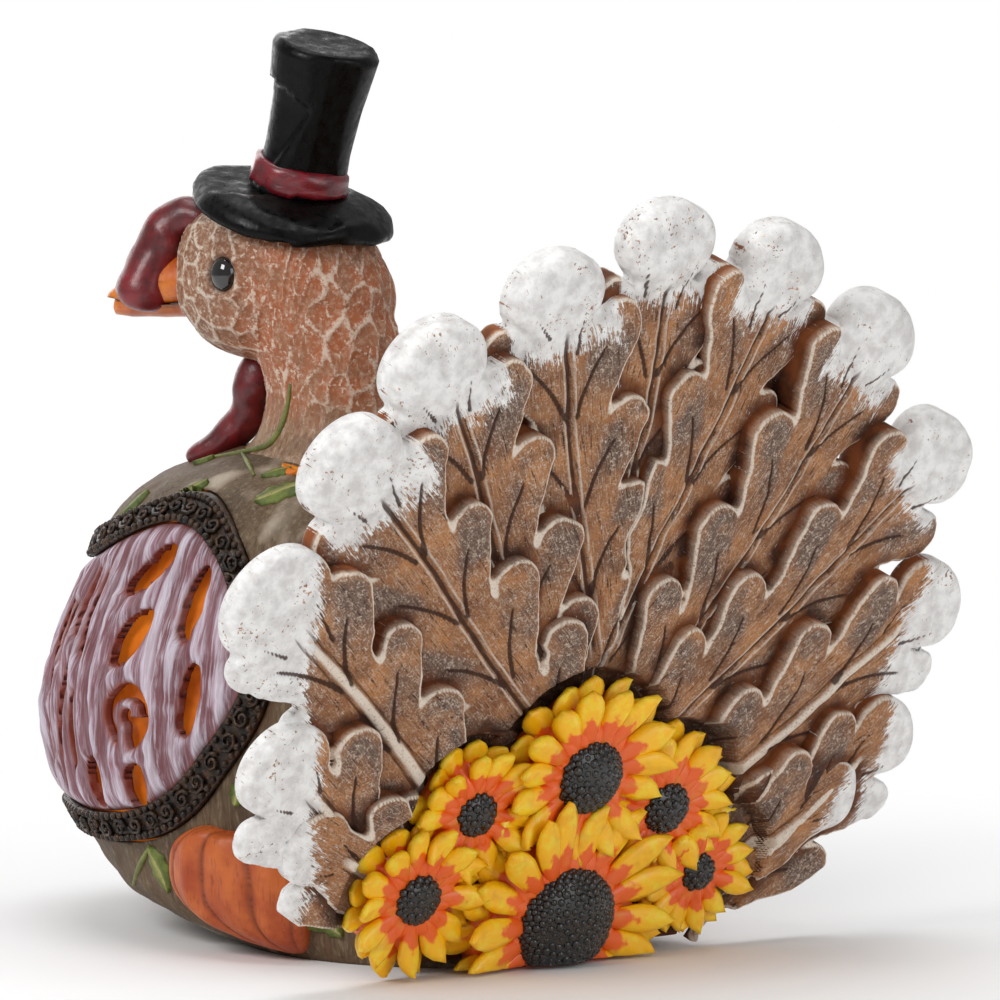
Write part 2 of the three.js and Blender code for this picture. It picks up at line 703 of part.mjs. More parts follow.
const flowers = new Map();
SUNFLOWERS.forEach((f, i) => {
  const low = ROOT.raise + GAP;
  const high = ROOT.raise + GAP + f.raise + PETAL_THICK;
  let petals = slab(petalPoints(f, 0), low, high);
  const dome = new THREE.SphereGeometry(f.disc, 12, 6).scale(1, 1, DISC_TALL);
  const aboveDisc = box(-REACH, REACH, -REACH, REACH, high + GAP, high + 2 * f.disc);
  let disc = solid(dome.translate(f.x, f.up, high + GAP)).intersect(aboveDisc);
  for (const over of SUNFLOWERS.slice(0, i)) {
    const cover = slab(petalPoints(over, GAP), -TALL, TALL);
    petals = petals.subtract(cover);
    disc = disc.subtract(cover);
  }
  flowers.set("sunflower_" + f.name + "_petals", placed(petals));
  flowers.set("sunflower_" + f.name + "_disc", placed(disc));
});
const flowerRooms = SUNFLOWERS.map((f) => slab(petalPoints(f, GAP), ROOT.raise, TALL));
const flowerBed = flowerRooms.reduce((a, b) => a.add(b));
for (const [name, leaf] of feathers) feathers.set(name, placed(leaf.subtract(flowerBed)));

// Pumpkins

function pumpkin(side) {
  const seat = onBody(PUMPKIN.angle * RAD * WRAP_RADIUS, PUMPKIN.z, 0);
  const out = onBody(PUMPKIN.angle * RAD * WRAP_RADIUS, PUMPKIN.z, 1).sub(seat);
  const g = new THREE.SphereGeometry(1, PUMPKIN.ribs * 2, 8).rotateX(Math.PI / 2);
  warp(g, (p) => {
    const round = Math.atan2(p.x, p.y);
    const rib = 0.95 + 0.05 * Math.cos(round * PUMPKIN.ribs);
    p.set(p.x * PUMPKIN.wide * rib, p.y * PUMPKIN.raise * 2.4 * rib, p.z * PUMPKIN.tall);
  });
  g.rotateX(18 * RAD);
  g.rotateZ(Math.atan2(-out.x, out.y)).translate(seat.x, seat.y, seat.z);
  const fruit = solid(g).subtract(bodyClear).subtract(panelClear).intersect(room);
  return side > 0 ? fruit : fruit.mirror([1, 0, 0]);
}

const pumpkins = [1, -1].map((side) => {
  const others = [...feathers.values(), tailBacking, ...flowers.values()];
  return largest(others.reduce((a, b) => a.subtract(b), pumpkin(side).subtract(inFan(flowerBed))));
});

// Base, battery compartment and light

const doorHalfWide = cellsHalf - DOOR_MARGIN;
const doorHalfDeep = bayHalf - DOOR_MARGIN;
const bayBlock = (halfWide, halfDeep, low, high) =>
  box(-halfWide, halfWide, BASE_Y - halfDeep, BASE_Y + halfDeep, low, high);
const batteryBox = bayBlock(boxHalfWide, boxHalfDeep, boxLow, boxHigh).subtract(
  bayBlock(cellsHalf, bayHalf, boxLow - 1, boxHigh - BOX_WALL),
);

// The slot that the switch knob slides in
const knobSlot = (low, high) =>
  box(
    -SWITCH.knob / 2 - SWITCH.travel - GAP,
    SWITCH.knob / 2 + GAP,
    switchY - SWITCH.knob / 2 - GAP,
    switchY + SWITCH.knob / 2 + GAP,
    low,
    high,
  );
const plateHoles = [-1, 1].flatMap((side) => [
  rod(SCREW.shank + GAP, 0, plateHigh + 1, side * SCREW.x, BASE_Y),
  rod(SCREW.head + GAP, 0, plateLow + SCREW.headTall + GAP, side * SCREW.x, BASE_Y),
]);
const doorHole = bayBlock(doorHalfWide + GAP, doorHalfDeep + GAP, 0, plateHigh + 1);
const basePlate = [knobSlot(0, plateHigh + 1), doorHole, ...plateHoles].reduce(
  (a, b) => a.subtract(b),
  roundedBlock(OPENING.wide - GAP, OPENING.deep - GAP, OPENING.round - GAP, plateLow, plateHigh, BASE_Y),
);
const hingeY = BASE_Y - doorHalfDeep + HINGE_R;
const hingeZ = plateLow + HINGE_R;
const doorHigh = plateLow + DOOR_THICK;
const doorLeaf = box(-doorHalfWide, doorHalfWide, hingeY, BASE_Y + doorHalfDeep, plateLow, doorHigh);
const hingeBarrel = new THREE.CylinderGeometry(HINGE_R, HINGE_R, 2 * doorHalfWide, 12);
const batteryDoor = doorLeaf.add(solid(hingeBarrel.rotateZ(Math.PI / 2).translate(0, hingeY, hingeZ)));

function screwSolid(x) {
  const low = plateLow;
  const g = hatLathe(
    [
      [0, low],
      [SCREW.head, low],
      [SCREW.head, low + SCREW.headTall],
      [SCREW.shank, low + SCREW.headTall],
      [SCREW.shank, low + SCREW.headTall + SCREW.long - SCREW.shank],
      [0, low + SCREW.headTall + SCREW.long],
    ],
    12,
  );
  return solid(g.translate(x, BASE_Y, 0));
}

function cellSolid(x, way) {
  const g = hatLathe(
    [
      [0, -CELL_LONG / 2],
      [CELL_R, -CELL_LONG / 2],
      [CELL_R, CELL_LONG / 2 - 1],
      [1.9, CELL_LONG / 2 - 1],
      [1.9, CELL_LONG / 2],
      [0, CELL_LONG / 2],
    ],
    16,
  ).rotateX((way * Math.PI) / 2);
  return solid(g.translate(x, BASE_Y, cellMid));
}

// A contact strip across one end of the bay, with a bump towards each cell
function contactStrip(way) {
  const wall = BASE_Y + way * (bayHalf - GAP);
  const face = wall - way * CONTACT_THICK;
  const mid = cellMid;
  const across = cellsHalf - GAP;
  let strip = box(-across, across, Math.min(wall, face), Math.max(wall, face), mid - 3, mid + 3);
  for (const k of [-1, 0, 1]) {
    const g = new THREE.CylinderGeometry(1.2, 2.6, CONTACT_BUMP + CONTACT_THICK / 2, 10);
    if (way > 0) g.rotateX(Math.PI);
    const y = face - way * (CONTACT_BUMP / 2 - CONTACT_THICK / 4);
    strip = strip.add(solid(g.translate(k * CELL_PITCH, y, mid)));
  }
  return strip;
}

const switchLow = plateHigh + GAP;
const switchBody = box(
  -SWITCH.wide / 2 - SWITCH.travel / 2,
  SWITCH.wide / 2 - SWITCH.travel / 2,
  switchY - SWITCH.deep / 2,
  switchY + SWITCH.deep / 2,
  switchLow,
  switchLow + SWITCH.tall,
).subtract(knobSlot(switchLow - 1, switchLow + SWITCH.tall / 2));
const switchKnob = box(
  -SWITCH.knob / 2,
  SWITCH.knob / 2,
  switchY - SWITCH.knob / 2,
  switchY + SWITCH.knob / 2,
  plateLow + GAP,
  switchLow + SWITCH.tall / 2 - GAP,
);

const boardLow = boxHigh + GAP;
const ledBoard = box(
  -BOARD.wide / 2,
  BOARD.wide / 2,
  BASE_Y - BOARD.deep / 2,
  BASE_Y + BOARD.deep / 2,
  boardLow,
  boardLow + BOARD.thick,
);
const lampLow = boardLow + BOARD.thick + GAP;
const lamp = solid(
  hatLathe(
    [
      [0, lampLow],
      [LAMP.r, lampLow],
      [LAMP.r, lampLow + LAMP.tall - LAMP.r],
      [LAMP.r * 0.7, lampLow + LAMP.tall - LAMP.r * 0.3],
      [0, lampLow + LAMP.tall],
    ],
    14,
  ).translate(0, BASE_Y, 0),
);

function wire(x) {
  const end = BASE_Y + BOARD.deep / 2 + GAP;
  const path = new THREE.CatmullRomCurve3([
    new THREE.Vector3(x, switchY, switchLow + SWITCH.tall + GAP),
    new THREE.Vector3(x, switchY, switchLow + SWITCH.tall + 6),
    new THREE.Vector3(x, (switchY + end) / 2, boardLow + BOARD.thick + 4),
    new THREE.Vector3(x, end + 2.5, boardLow + BOARD.thick / 2),
    new THREE.Vector3(x, end, boardLow + BOARD.thick / 2),
  ]);
  const ring = ellipsePoints(0, 0, WIRE_R, WIRE_R, 8).map(([a, b]) => new THREE.Vector2(a, b));
  const options = { steps: 12, extrudePath: path, bevelEnabled: false };
  return solid(new THREE.ExtrudeGeometry(new THREE.Shape(ring), options));
}

// Materials and the assembly

const PAINT = {
  wood: { color: 0x9a7355, roughness: 0.75, metalness: 0 },
  ribs: { color: 0xb59aa5, roughness: 0.6, metalness: 0 },
  bronze: { color: 0x2b2018, roughness: 0.45, metalness: 0.2 },
  amber: { color: 0xc2611a, roughness: 0.4, metalness: 0 },
  black: { color: 0x141416, roughness: 0.35, metalness: 0 },
  crimson: { color: 0x7d0f1d, roughness: 0.4, metalness: 0 },
  orange: { color: 0xd9741f, roughness: 0.5, metalness: 0 },
  feather: { color: 0x8a6248, roughness: 0.75, metalness: 0 },
  petal: { color: 0xf5c211, roughness: 0.4, metalness: 0 },
  plastic: { color: 0x202022, roughness: 0.5, metalness: 0 },
  steel: { color: 0xb8b8bc, roughness: 0.35, metalness: 1 },
  board: { color: 0x1d5a34, roughness: 0.6, metalness: 0 },
  lens: { color: 0xffd9a0, roughness: 0.1, metalness: 0 },
  red: { color: 0xb01818, roughness: 0.5, metalness: 0 },
};

const figure = new THREE.Group();
function add(name, shape, paint) {
  const mesh = new THREE.Mesh(geometryOf(shape), new THREE.MeshStandardMaterial(PAINT[paint]));
  mesh.name = name;
  figure.add(mesh);
}

add("body_shell", bodyShell, "wood");
add("breast_band", breastBand, "bronze");
add("breast_grille", breastGrille, "ribs");
add("breast_liner", breastLiner, "amber");
add("neck_head", neckHead, "wood");
add("eye_left", solid(eyeGeometry(1, 0)), "black");
add("eye_right", solid(eyeGeometry(-1, 0)), "black");
add("beak_upper", beakUpper, "orange");
add("beak_lower", beakLower, "orange");
add("snood", snood, "crimson");
add("wattle", wattle, "crimson");
add("hat_brim", brim, "black");
add("hat_crown", crown, "black");
add("hat_band", hatBand, "crimson");
add("tail_backing", tailBacking, "wood");
for (const [name, shape] of feathers) add(name, shape, "feather");
for (const [name, shape] of flowers) add(name, shape, name.endsWith("disc") ? "black" : "petal");
add("pumpkin_left", pumpkins[0], "orange");
add("pumpkin_right", pumpkins[1], "orange");
add("base_plate", basePlate, "plastic");
add("battery_box", batteryBox, "plastic");
add("battery_door", batteryDoor, "plastic");
[-1, 0, 1].forEach((k) => add("battery_" + (k + 2), cellSolid(k * CELL_PITCH, k === 0 ? 1 : -1), "steel"));
add("contacts_front", contactStrip(-1), "steel");
add("contacts_rear", contactStrip(1), "steel");
add("screw_left", screwSolid(SCREW.x), "steel");
add("screw_right", screwSolid(-SCREW.x), "steel");
add("switch_body", switchBody, "plastic");
add("switch_knob", switchKnob, "plastic");
add("led_board", ledBoard, "board");
add("lamp", lamp, "lens");
add("wire_red", wire(3), "red");
add("wire_black", wire(-3), "plastic");

// The origin is the middle of the footprint, at floor level
const reach = new THREE.Box3().setFromObject(figure);
const middle = reach.getCenter(new THREE.Vector3());
for (const mesh of figure.children) mesh.position.set(-middle.x, -middle.y, -reach.min.z);

export default figure;
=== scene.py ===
import math
import bpy
import bmesh
import numpy as np
from mathutils import Matrix, Vector
from mathutils.bvhtree import BVHTree


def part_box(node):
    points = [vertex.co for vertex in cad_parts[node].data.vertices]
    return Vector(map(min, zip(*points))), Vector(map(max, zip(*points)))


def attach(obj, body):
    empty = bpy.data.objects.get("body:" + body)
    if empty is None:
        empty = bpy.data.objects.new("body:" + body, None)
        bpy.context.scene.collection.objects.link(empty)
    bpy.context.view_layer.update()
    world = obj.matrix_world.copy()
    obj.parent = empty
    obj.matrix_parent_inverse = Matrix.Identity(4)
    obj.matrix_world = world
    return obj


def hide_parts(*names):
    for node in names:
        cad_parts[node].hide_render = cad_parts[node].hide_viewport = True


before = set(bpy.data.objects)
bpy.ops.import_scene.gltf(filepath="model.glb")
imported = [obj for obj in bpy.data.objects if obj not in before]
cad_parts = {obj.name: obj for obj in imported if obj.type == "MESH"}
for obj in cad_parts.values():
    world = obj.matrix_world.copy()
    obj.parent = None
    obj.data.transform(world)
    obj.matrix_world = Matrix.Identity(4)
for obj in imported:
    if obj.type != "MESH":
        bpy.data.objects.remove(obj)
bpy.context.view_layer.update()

# Sizes in millimetres, in the layout of the solids; SHIFT moves that layout into the frame
MM = 0.001
BASE_Y = 9.0
bay_low, bay_high = (np.array(corner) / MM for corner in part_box("battery_box"))
SHIFT = np.array([(bay_low[0] + bay_high[0]) / 2, (bay_low[1] + bay_high[1]) / 2 - BASE_Y, 0.0])
FLOOR_CLEAR = 0.9
# Points closer than this become one
WELD = 0.002

# Stations of the body: height, half width, half depth and place of the middle
BODY = np.array([
    (0, 40, 46, 9), (6, 48, 55, -6), (20, 53.5, 65, -19), (33, 57, 70, -24.5), (48, 58, 71, -27),
    (66, 55, 66, -27), (80, 49, 58, -27), (91, 43.5, 52, -27), (99, 34, 41, -27), (105, 19, 23, -27)])
BODY_WALL = 4.0
# Holes in the underside: half width, half depth, corner radius
OPENING = (28.3, 34.3, 16)
LEDGE = (18.8, 31.5, 2)
LEDGE_LOW, LEDGE_HIGH = 4, 8
WRAP_RADIUS = 60.0
# Half the breast panel's edge, from its top to its foot: place round the body and height
PANEL_EDGE = [(0, 84), (52, 87), (96, 98), (121, 88), (132, 60),
              (120, 38), (104, 26), (80, 21), (44, 21), (0, 21)]
PANEL_MIDDLE = 55.0
BAND_WIDTH = 6.0
BAND_GAP = 0.4
SCROLL_SIZE = (2.35, 2.1, 2.6)
GRILLE_INSET = 6.8
# How deep the backs of the ribs and of the band lie
GRILLE_LOW, BAND_LOW = -2.6, -3.0
# Grids on which the ribs and the band are carved: places round the body, heights
GRILLE_GRID = (np.arange(-132, 132.1, 0.6), np.arange(24, 97, 0.6))
BAND_GRID = (np.arange(-136, 136.1, 0.8), np.arange(17, 103, 0.8))
SLOT_PITCH = 11.6
SLOT_COLUMNS = 6
SLOT_WIDE = 3.2
SLOT_RIB = 4.0
RIB_PITCH, RIB_RISE = SLOT_PITCH / 2, 0.55
SLIT_WIDE = 2.3
# Wider openings toward the ends of the breast: place, low and high end, lean, width
END_SLOTS = [(94, 76, 86, 5, 7), (94, 61, 72, 4, 7), (84, 30, 39, 1, 5),
             (98, 31, 39, 1, 5), (113, 48, 62, 1, 4), (111, 68, 82, 1, 4)]
# The round opening with a curl: place, height, radius
CURL = (96.0, 50.0, 6.6)

HEAD_TURN = math.radians(32)
HEAD = np.array([6.0, -34.0, 143.0])
HEAD_SIZE = (25.0, 19.0, 19.0)
# Stations of the neck: height, radius and place of the middle
NECK = np.array([(95, 31, 0, -27), (101, 24, 0, -25), (108, 18.5, 0, -23.5), (118, 15.8, 0.5, -23),
                 (130, 16.5, 2.5, -25.5), (142, 16, 5.5, -30)])
NECK_TOP = 146
NAPE_SLOPE = 5.0
EYE = {"ahead": 8.4, "aside": 17.0, "up": 1.0, "r": 3.55, "deep": 2.8, "turn": math.radians(24)}
# Stations of the flesh: place ahead of the head's middle, height above it, radius
SNOOD = np.array([(16, 9, 4.2), (22.5, 12.6, 4.9), (27, 10.2, 5.6),
                  (30.5, 3.8, 6.1), (32.8, -2.8, 6.5), (34, -8.6, 6.5)])
SNOOD_ASIDE = 2.4
WATTLE = np.array([(6, -17, 4), (8.5, -25, 4.6), (10.5, -32, 4.4), (17, -38, 3.6), (24, -41.5, 2.6)])
BEAK = {"long": 21.0, "half_wide": 7.5, "half_tall": 7.0, "sunk": 3.0}
HAT_SEAT = (-1.5, 0.0, 16.5)
HAT_TILT = (math.radians(-7), math.radians(-15))
BRIM_R = 22.0
BRIM_DROOP = 4.4
CROWN_R = 9.6
CROWN_TOP_R = 11.2
CROWN_TALL = 33.0
BRIM_TOP = 2.7
# Radius at which a turned profile meets its axis
AXIS = 0.01

FAN_Y = 44.0
FAN_LEAN = math.radians(16.6)
# The block at the fan's root: place on the fan, half width and half height
ROOT = (0.0, 21.0, 42.0, 36.0)
# Its mean radius, and the share of its radius at which the feathers start
ROOT_MEAN, ROOT_GAP = 38, 1.008
# Feathers: place of the tip, turn, length, painted length, fingers below too, raised stem, size of the tip
CENTRE = (2, 164, 0, 112, 22, True, False, 1.0)
LEFT = [(30.5, 154, 18, 94, 22, True, False, 1.0), (59.5, 140, 30, 100, 23, True, False, 1.05),
        (77, 119, 45, 96, 24, True, False, 1.05), (92, 91, 47, 96, 24, True, True, 1.15),
        (83, 54, 47, 62, 22, True, True, 0.95), (72, 36, 62, 32, 8, False, True, 0.75)]
RIGHT = [(29, 158, 18.5, 97, 22, True, False, 1.0), (58, 141, 29, 100, 22, True, False, 1.0),
         (81, 112.5, 47, 98, 22, True, False, 1.0), (86, 79, 53, 86, 18, True, True, 0.95),
         (80, 49, 49, 60, 11, True, True, 0.85), (67, 36.5, 58, 32, 8, False, True, 0.75)]
# Levels out of the fan's back: the lowest feather's top, its back, and the top where flowers cover it
FEATHER_LOW, FEATHER_BACK, UNDER_FLOWERS = 5.0, -2.2, 3.9
FAN_STEP = 0.5
SPINE_HALF = 9.0
NECK_HALF = 7.6
FINGER = {"long": 27.0, "r": 5.5, "turn": math.radians(30), "pitch": 21.0, "first": 3.0}
TIP_WIDE, TIP_LONG = 11.7, 9.6
TIP_THICK, LEAF_THICK = 6.5, 4.5
VEIN_BEND = 2.1
# Short knife nicks at a tip: start and end behind the middle of the tip, place aside and lean
NICKS = [(12, 3, 3.2, 2.5), (9, 3, -4.5, -2.5)]
# The slab behind the feathers: middle, radius, and where its carved veins start
SLAB_UP, SLAB_R, SLAB_VEINS_UP = 84.0, 59.5, 18
SLAB_GRID = (np.arange(-62, 62.1, 0.9), np.arange(-4, 145, 0.9))
# The lowest edge of the fan stays off the floor, and rises from the skirt outward
FAN_CLEAR = FLOOR_CLEAR + 2.6
FAN_SKIRT, SKIRT_RISE = 50.0, 0.62
# Name, place on the fan, flower radius, disc radius, raise, petals
SUNFLOWERS = [
    ("low", 3, 14, 28, 12, 6, 20), ("top", 3, 47, 21.5, 7.8, 5, 17), ("left_low", 43, 22, 17, 5.2, 4, 14),
    ("left_high", 30.5, 40, 15.5, 4.6, 3, 14), ("right_high", -21.5, 37, 18, 5.4, 3, 15),
    ("right_low", -35, 20.5, 14.5, 3.9, 2, 13)]
FLOWER_BACK = 4.3
# Rings of petals: start and end as shares of the radius, level, tilt, share of the petals, turn
PETAL_RINGS = [(0.5, 1.06, 0.62, -2, 0.9, 0.0), (0.3, 1.0, 0.98, 4, 0.9, 0.5)]
# Width of a petal along its length
PETAL_OUTLINE = [(0, 0.42), (0.2, 0.58), (0.45, 0.86), (0.64, 1.0), (0.8, 0.86), (0.92, 0.5), (1, 0.03)]
PETAL_THICK = 3.0
PETAL_SUNK, PETAL_CREST = 1.2, 1.9
SEED_SIZE = (0.95, 0.95, 0.5)
GOLDEN_TURN = math.pi * (3 - math.sqrt(5))
DISC_RISE, DISC_SUNK = 0.42, 0.3
# Vines and leaves by picture point: stems with their thickness; leaves with direction, length and width
CHEST_VINES = [([(291, 384), (289, 402), (282, 428), (270, 446), (242, 453), (212, 458)], 0.75),
               ([(242, 453), (249, 464), (254, 476)], 0.6), ([(375, 381), (386, 372), (396, 364)], 0.7)]
CHEST_LEAVES = [(196, 458, 200, 8, 4.5), (150, 492, 205, 9, 5), (255, 503, 32, 15, 6.5),
                (292, 470, 215, 7, 4), (215, 458, 160, 5, 3)]
BLOSSOM = [(296, 474, 60, 6, 4.5), (297, 474, 110, 6, 4), (296, 476, 10, 6, 4)]
PUMPKIN_LEAVES = [(150, 846, -62, 11, 6), (304, 902, -38, 12, 7), (236, 806, 70, 7, 4)]
PUMPKIN_VINES = [([(150, 846), (143, 860), (137, 874), (134, 884)], 0.7)]
PUMPKIN = {"angle": math.radians(108), "back": 3.0, "z": 15.2, "wide": 18.5, "tall": 14.0, "raise": 6.8,
           "foot": 1.2, "sunk": 2.5, "lobes": 5, "upright": 0.5}

# The photograph's view: turn and lift of the camera, its distance, and where MIDDLE falls in the picture
MIDDLE = Vector((0, 0, 100))
VIEW_TURN, VIEW_LIFT = math.radians(142), math.radians(5.5)
VIEW_FAR = 2.0
PICTURE_SIZE = 1000
PICTURE_SCALE = 4.6
PICTURE_ZERO = (393, 480.1)
VIEW_BACK = Vector((math.sin(VIEW_TURN) * math.cos(VIEW_LIFT), -math.cos(VIEW_TURN) * math.cos(VIEW_LIFT),
                    math.sin(VIEW_LIFT)))
VIEW_RIGHT = Vector((math.cos(VIEW_TURN), math.sin(VIEW_TURN), 0))
VIEW_ABOVE = VIEW_BACK.cross(VIEW_RIGHT)


def picture_point(px, py):
    """The point in millimetres that a picture point shows, in the upright plane through the middle."""
    across = VIEW_RIGHT * (px - PICTURE_ZERO[0]) / PICTURE_SCALE
    down = VIEW_ABOVE * (py - PICTURE_ZERO[1]) / PICTURE_SCALE
    return MIDDLE + across - down


CAMERA_PLACE = picture_point(PICTURE_SIZE / 2, PICTURE_SIZE / 2) * MM + VIEW_BACK * VIEW_FAR


# Lamps in metres: place toward the camera, to its right and upward, size, power
LAMPS = [("key", 0.75, -0.75, 0.75, 0.5, 8), ("fill", 0.9, 0.9, 0.35, 0.8, 4.2),
         ("top", -0.15, 0.0, 1.2, 0.7, 5), ("front", -0.9, -0.4, 0.5, 0.9, 4.5)]
LAMP_AIM = Vector((0, 0, 0.09))
WORLD_LIGHT = 0.34
FLOOR_HALF = 6.0
SHADOW_NEAR, SHADOW_FAR = 0.08, 0.3


# Small numeric tools
def smooth_step(low, high, x):
    t = np.clip((x - low) / (high - low), 0, 1)
    return t * t * (3 - 2 * t)


def soft_min(a, b, k):
    h = np.clip(0.5 + 0.5 * (b - a) / k, 0, 1)
    return b + (a - b) * h - k * h * (1 - h)


def ripple(points, scale, seed):
    """Smooth random unevenness from -1 to 1, at points given in millimetres."""
    p = np.asarray(points, dtype=float) / scale
    cell = np.floor(p).astype(np.int64)
    f = p - cell
    f = f * f * (3 - 2 * f)
    total = np.zeros(len(p))
    for corner in range(8):
        step = np.array([corner & 1, corner >> 1 & 1, corner >> 2 & 1])
        key = (cell + step) @ np.array([374761393, 668265263, 2147483629]) + seed * 974711
        key = (key ^ (key >> 13)) * 1274126177
        key = (key ^ (key >> 16)) & 0xFFFF
        weight = np.prod(np.where(step, f, 1 - f), axis=1)
        total += weight * (key / 32767.5 - 1)
    return total


def unit(vectors):
    return vectors / np.linalg.norm(vectors, axis=-1, keepdims=True)


def points_of(a, b, c=0.0):
    """Points from two lists of coordinates and one value for the third."""
    return np.stack([a, b, np.full(len(a), c)], 1)


def full_turn(count):
    return np.linspace(0, 2 * np.pi, count, endpoint=False)


def run_along(points):
    """Length along a line of points, up to each of them."""
    return np.concatenate([[0], np.cumsum(np.linalg.norm(np.diff(points, axis=0), axis=1))])


def station_curve(stations):
    """Smooth curve through stations, as a function of the first column."""
    x, y = stations[:, 0], stations[:, 1:]
    slope = np.gradient(y, x, axis=0)

    def at(value):
        v = np.clip(np.asarray(value, dtype=float), x[0], x[-1])
        i = np.clip(np.searchsorted(x, v, side="right") - 1, 0, len(x) - 2)
        h = (x[i + 1] - x[i])[..., None]
        t = ((v - x[i]) / (x[i + 1] - x[i]))[..., None]
        return ((2 * t**3 - 3 * t**2 + 1) * y[i] + (t**3 - 2 * t**2 + t) * h * slope[i]
                + (3 * t**2 - 2 * t**3) * y[i + 1] + (t**3 - t**2) * h * slope[i + 1])
    return at


def closed_curve(points, count):
    """Evenly spaced points of a smooth closed curve through the given points."""
    p = np.array(points, dtype=float)
    t = np.linspace(0, 1, 24, endpoint=False)[:, None]
    parts = []
    for i in range(len(p)):
        a, b, c, d = (p[(i + k) % len(p)] for k in (-1, 0, 1, 2))
        line = 2 * b + (c - a) * t + (2 * a - 5 * b + 4 * c - d) * t**2
        parts.append(0.5 * (line + (3 * b - a - 3 * c + d) * t**3))
    fine = np.vstack(parts)
    loop = np.vstack([fine, fine[:1]])
    run = run_along(loop)
    at = np.linspace(0, run[-1], count, endpoint=False)
    return np.stack([np.interp(at, run, loop[:, k]) for k in range(2)], axis=1)


def outline_distance(px, py, outline):
    """Signed distance to a closed outline, negative inside."""
    best = np.full(px.shape, 1e9)
    inside = np.zeros(px.shape, dtype=bool)
    for (ax, ay), (bx, by) in zip(outline, np.roll(outline, -1, axis=0)):
        dx, dy = bx - ax, by - ay
        q = np.clip(((px - ax) * dx + (py - ay) * dy) / (dx * dx + dy * dy), 0, 1)
        best = np.minimum(best, np.hypot(px - ax - dx * q, py - ay - dy * q))
        crosses = (ay > py) != (by > py)
        inside ^= crosses & (px < ax + (py - ay) / (dy if dy else 1e-9) * dx)
    return np.where(inside, -best, best)


def capsule(px, py, a, b, ra, rb):
    """Distance to a rounded finger, with the place along it and across it."""
    dx, dy = b[0] - a[0], b[1] - a[1]
    length = math.hypot(dx, dy)
    raw = ((px - a[0]) * dx + (py - a[1]) * dy) / (length * length)
    q = np.clip(raw, 0, 1)
    away = np.hypot(px - a[0] - dx * q, py - a[1] - dy * q)
    across = ((px - a[0]) * -dy + (py - a[1]) * dx) / length
    return away - (ra + (rb - ra) * q), raw, across


# Meshes
def placed(name, data):
    made = bpy.data.objects.new(name, data)
    bpy.context.collection.objects.link(made)
    return made


def smooth_mesh(name, verts, faces, marks=None, weld=False):
    """A mesh with its faces turned outward; marks are values at each point that its paint reads."""
    mesh = bpy.data.meshes.new(name)
    mesh.from_pydata(verts.tolist(), [], [list(map(int, f)) for f in faces])
    for mark, values in (marks or {}).items():
        values = np.asarray(values, dtype=np.float32)
        flat = values.ndim == 1
        layer = mesh.attributes.new(mark, "FLOAT" if flat else "FLOAT_VECTOR", "POINT")
        layer.data.foreach_set("value" if flat else "vector", values.ravel())
    shell = bmesh.new()
    shell.from_mesh(mesh)
    if weld:
        bmesh.ops.remove_doubles(shell, verts=shell.verts, dist=WELD * MM)
    bmesh.ops.recalc_face_normals(shell, faces=shell.faces)
    shell.to_mesh(mesh)
    shell.free()
    mesh.polygons.foreach_set("use_smooth", [True] * len(mesh.polygons))
    return mesh


def piece(name, verts, faces, paint, marks=None, weld=False):
    """A finished piece from points in millimetres."""
    mesh = smooth_mesh(name, (np.asarray(verts) + SHIFT) * MM, faces, marks, weld)
    mesh.materials.append(paint)
    return placed(name, mesh)


def dress(made, slot, *nodes):
    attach(made, "figure")
    if nodes:
        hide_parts(*nodes)
    return made


def grid_faces(rows, columns, ring=False, start=0):
    """Quads of a grid of points stored row by row; a ring joins its last column to its first."""
    i = np.arange(rows - 1)[:, None]
    j = np.arange(columns if ring else columns - 1)[None, :]
    k = (j + 1) % columns
    corners = (i * columns + j, i * columns + k, (i + 1) * columns + k, (i + 1) * columns + j)
    quads = np.stack(np.broadcast_arrays(*corners), -1)
    return (quads.reshape(-1, 4) + start).tolist()


def capped(rows, sides):
    """Faces of rings joined into a closed tube."""
    faces = grid_faces(rows, sides, ring=True)
    return faces + [list(range(sides))[::-1], list(range((rows - 1) * sides, rows * sides))]


def closed_dome(rings, sides):
    """Faces of rings that start in one point, with the last ring closed."""
    return grid_faces(rings, sides, ring=True) + [list(range((rings - 1) * sides, rings * sides))]


def two_sided(rows, columns):
    """Faces of a sheet, stored as the grid of its top and then that of its bottom, with walls round it."""
    count = rows * columns
    rim = list(range(columns))
    rim += [i * columns + columns - 1 for i in range(1, rows)]
    rim += [count - columns + j for j in range(columns - 2, -1, -1)]
    rim += [i * columns for i in range(rows - 2, 0, -1)]
    faces = grid_faces(rows, columns) + grid_faces(rows, columns, start=count)
    return faces + [[p, q, q + count, p + count] for p, q in zip(rim, rim[1:] + rim[:1])]


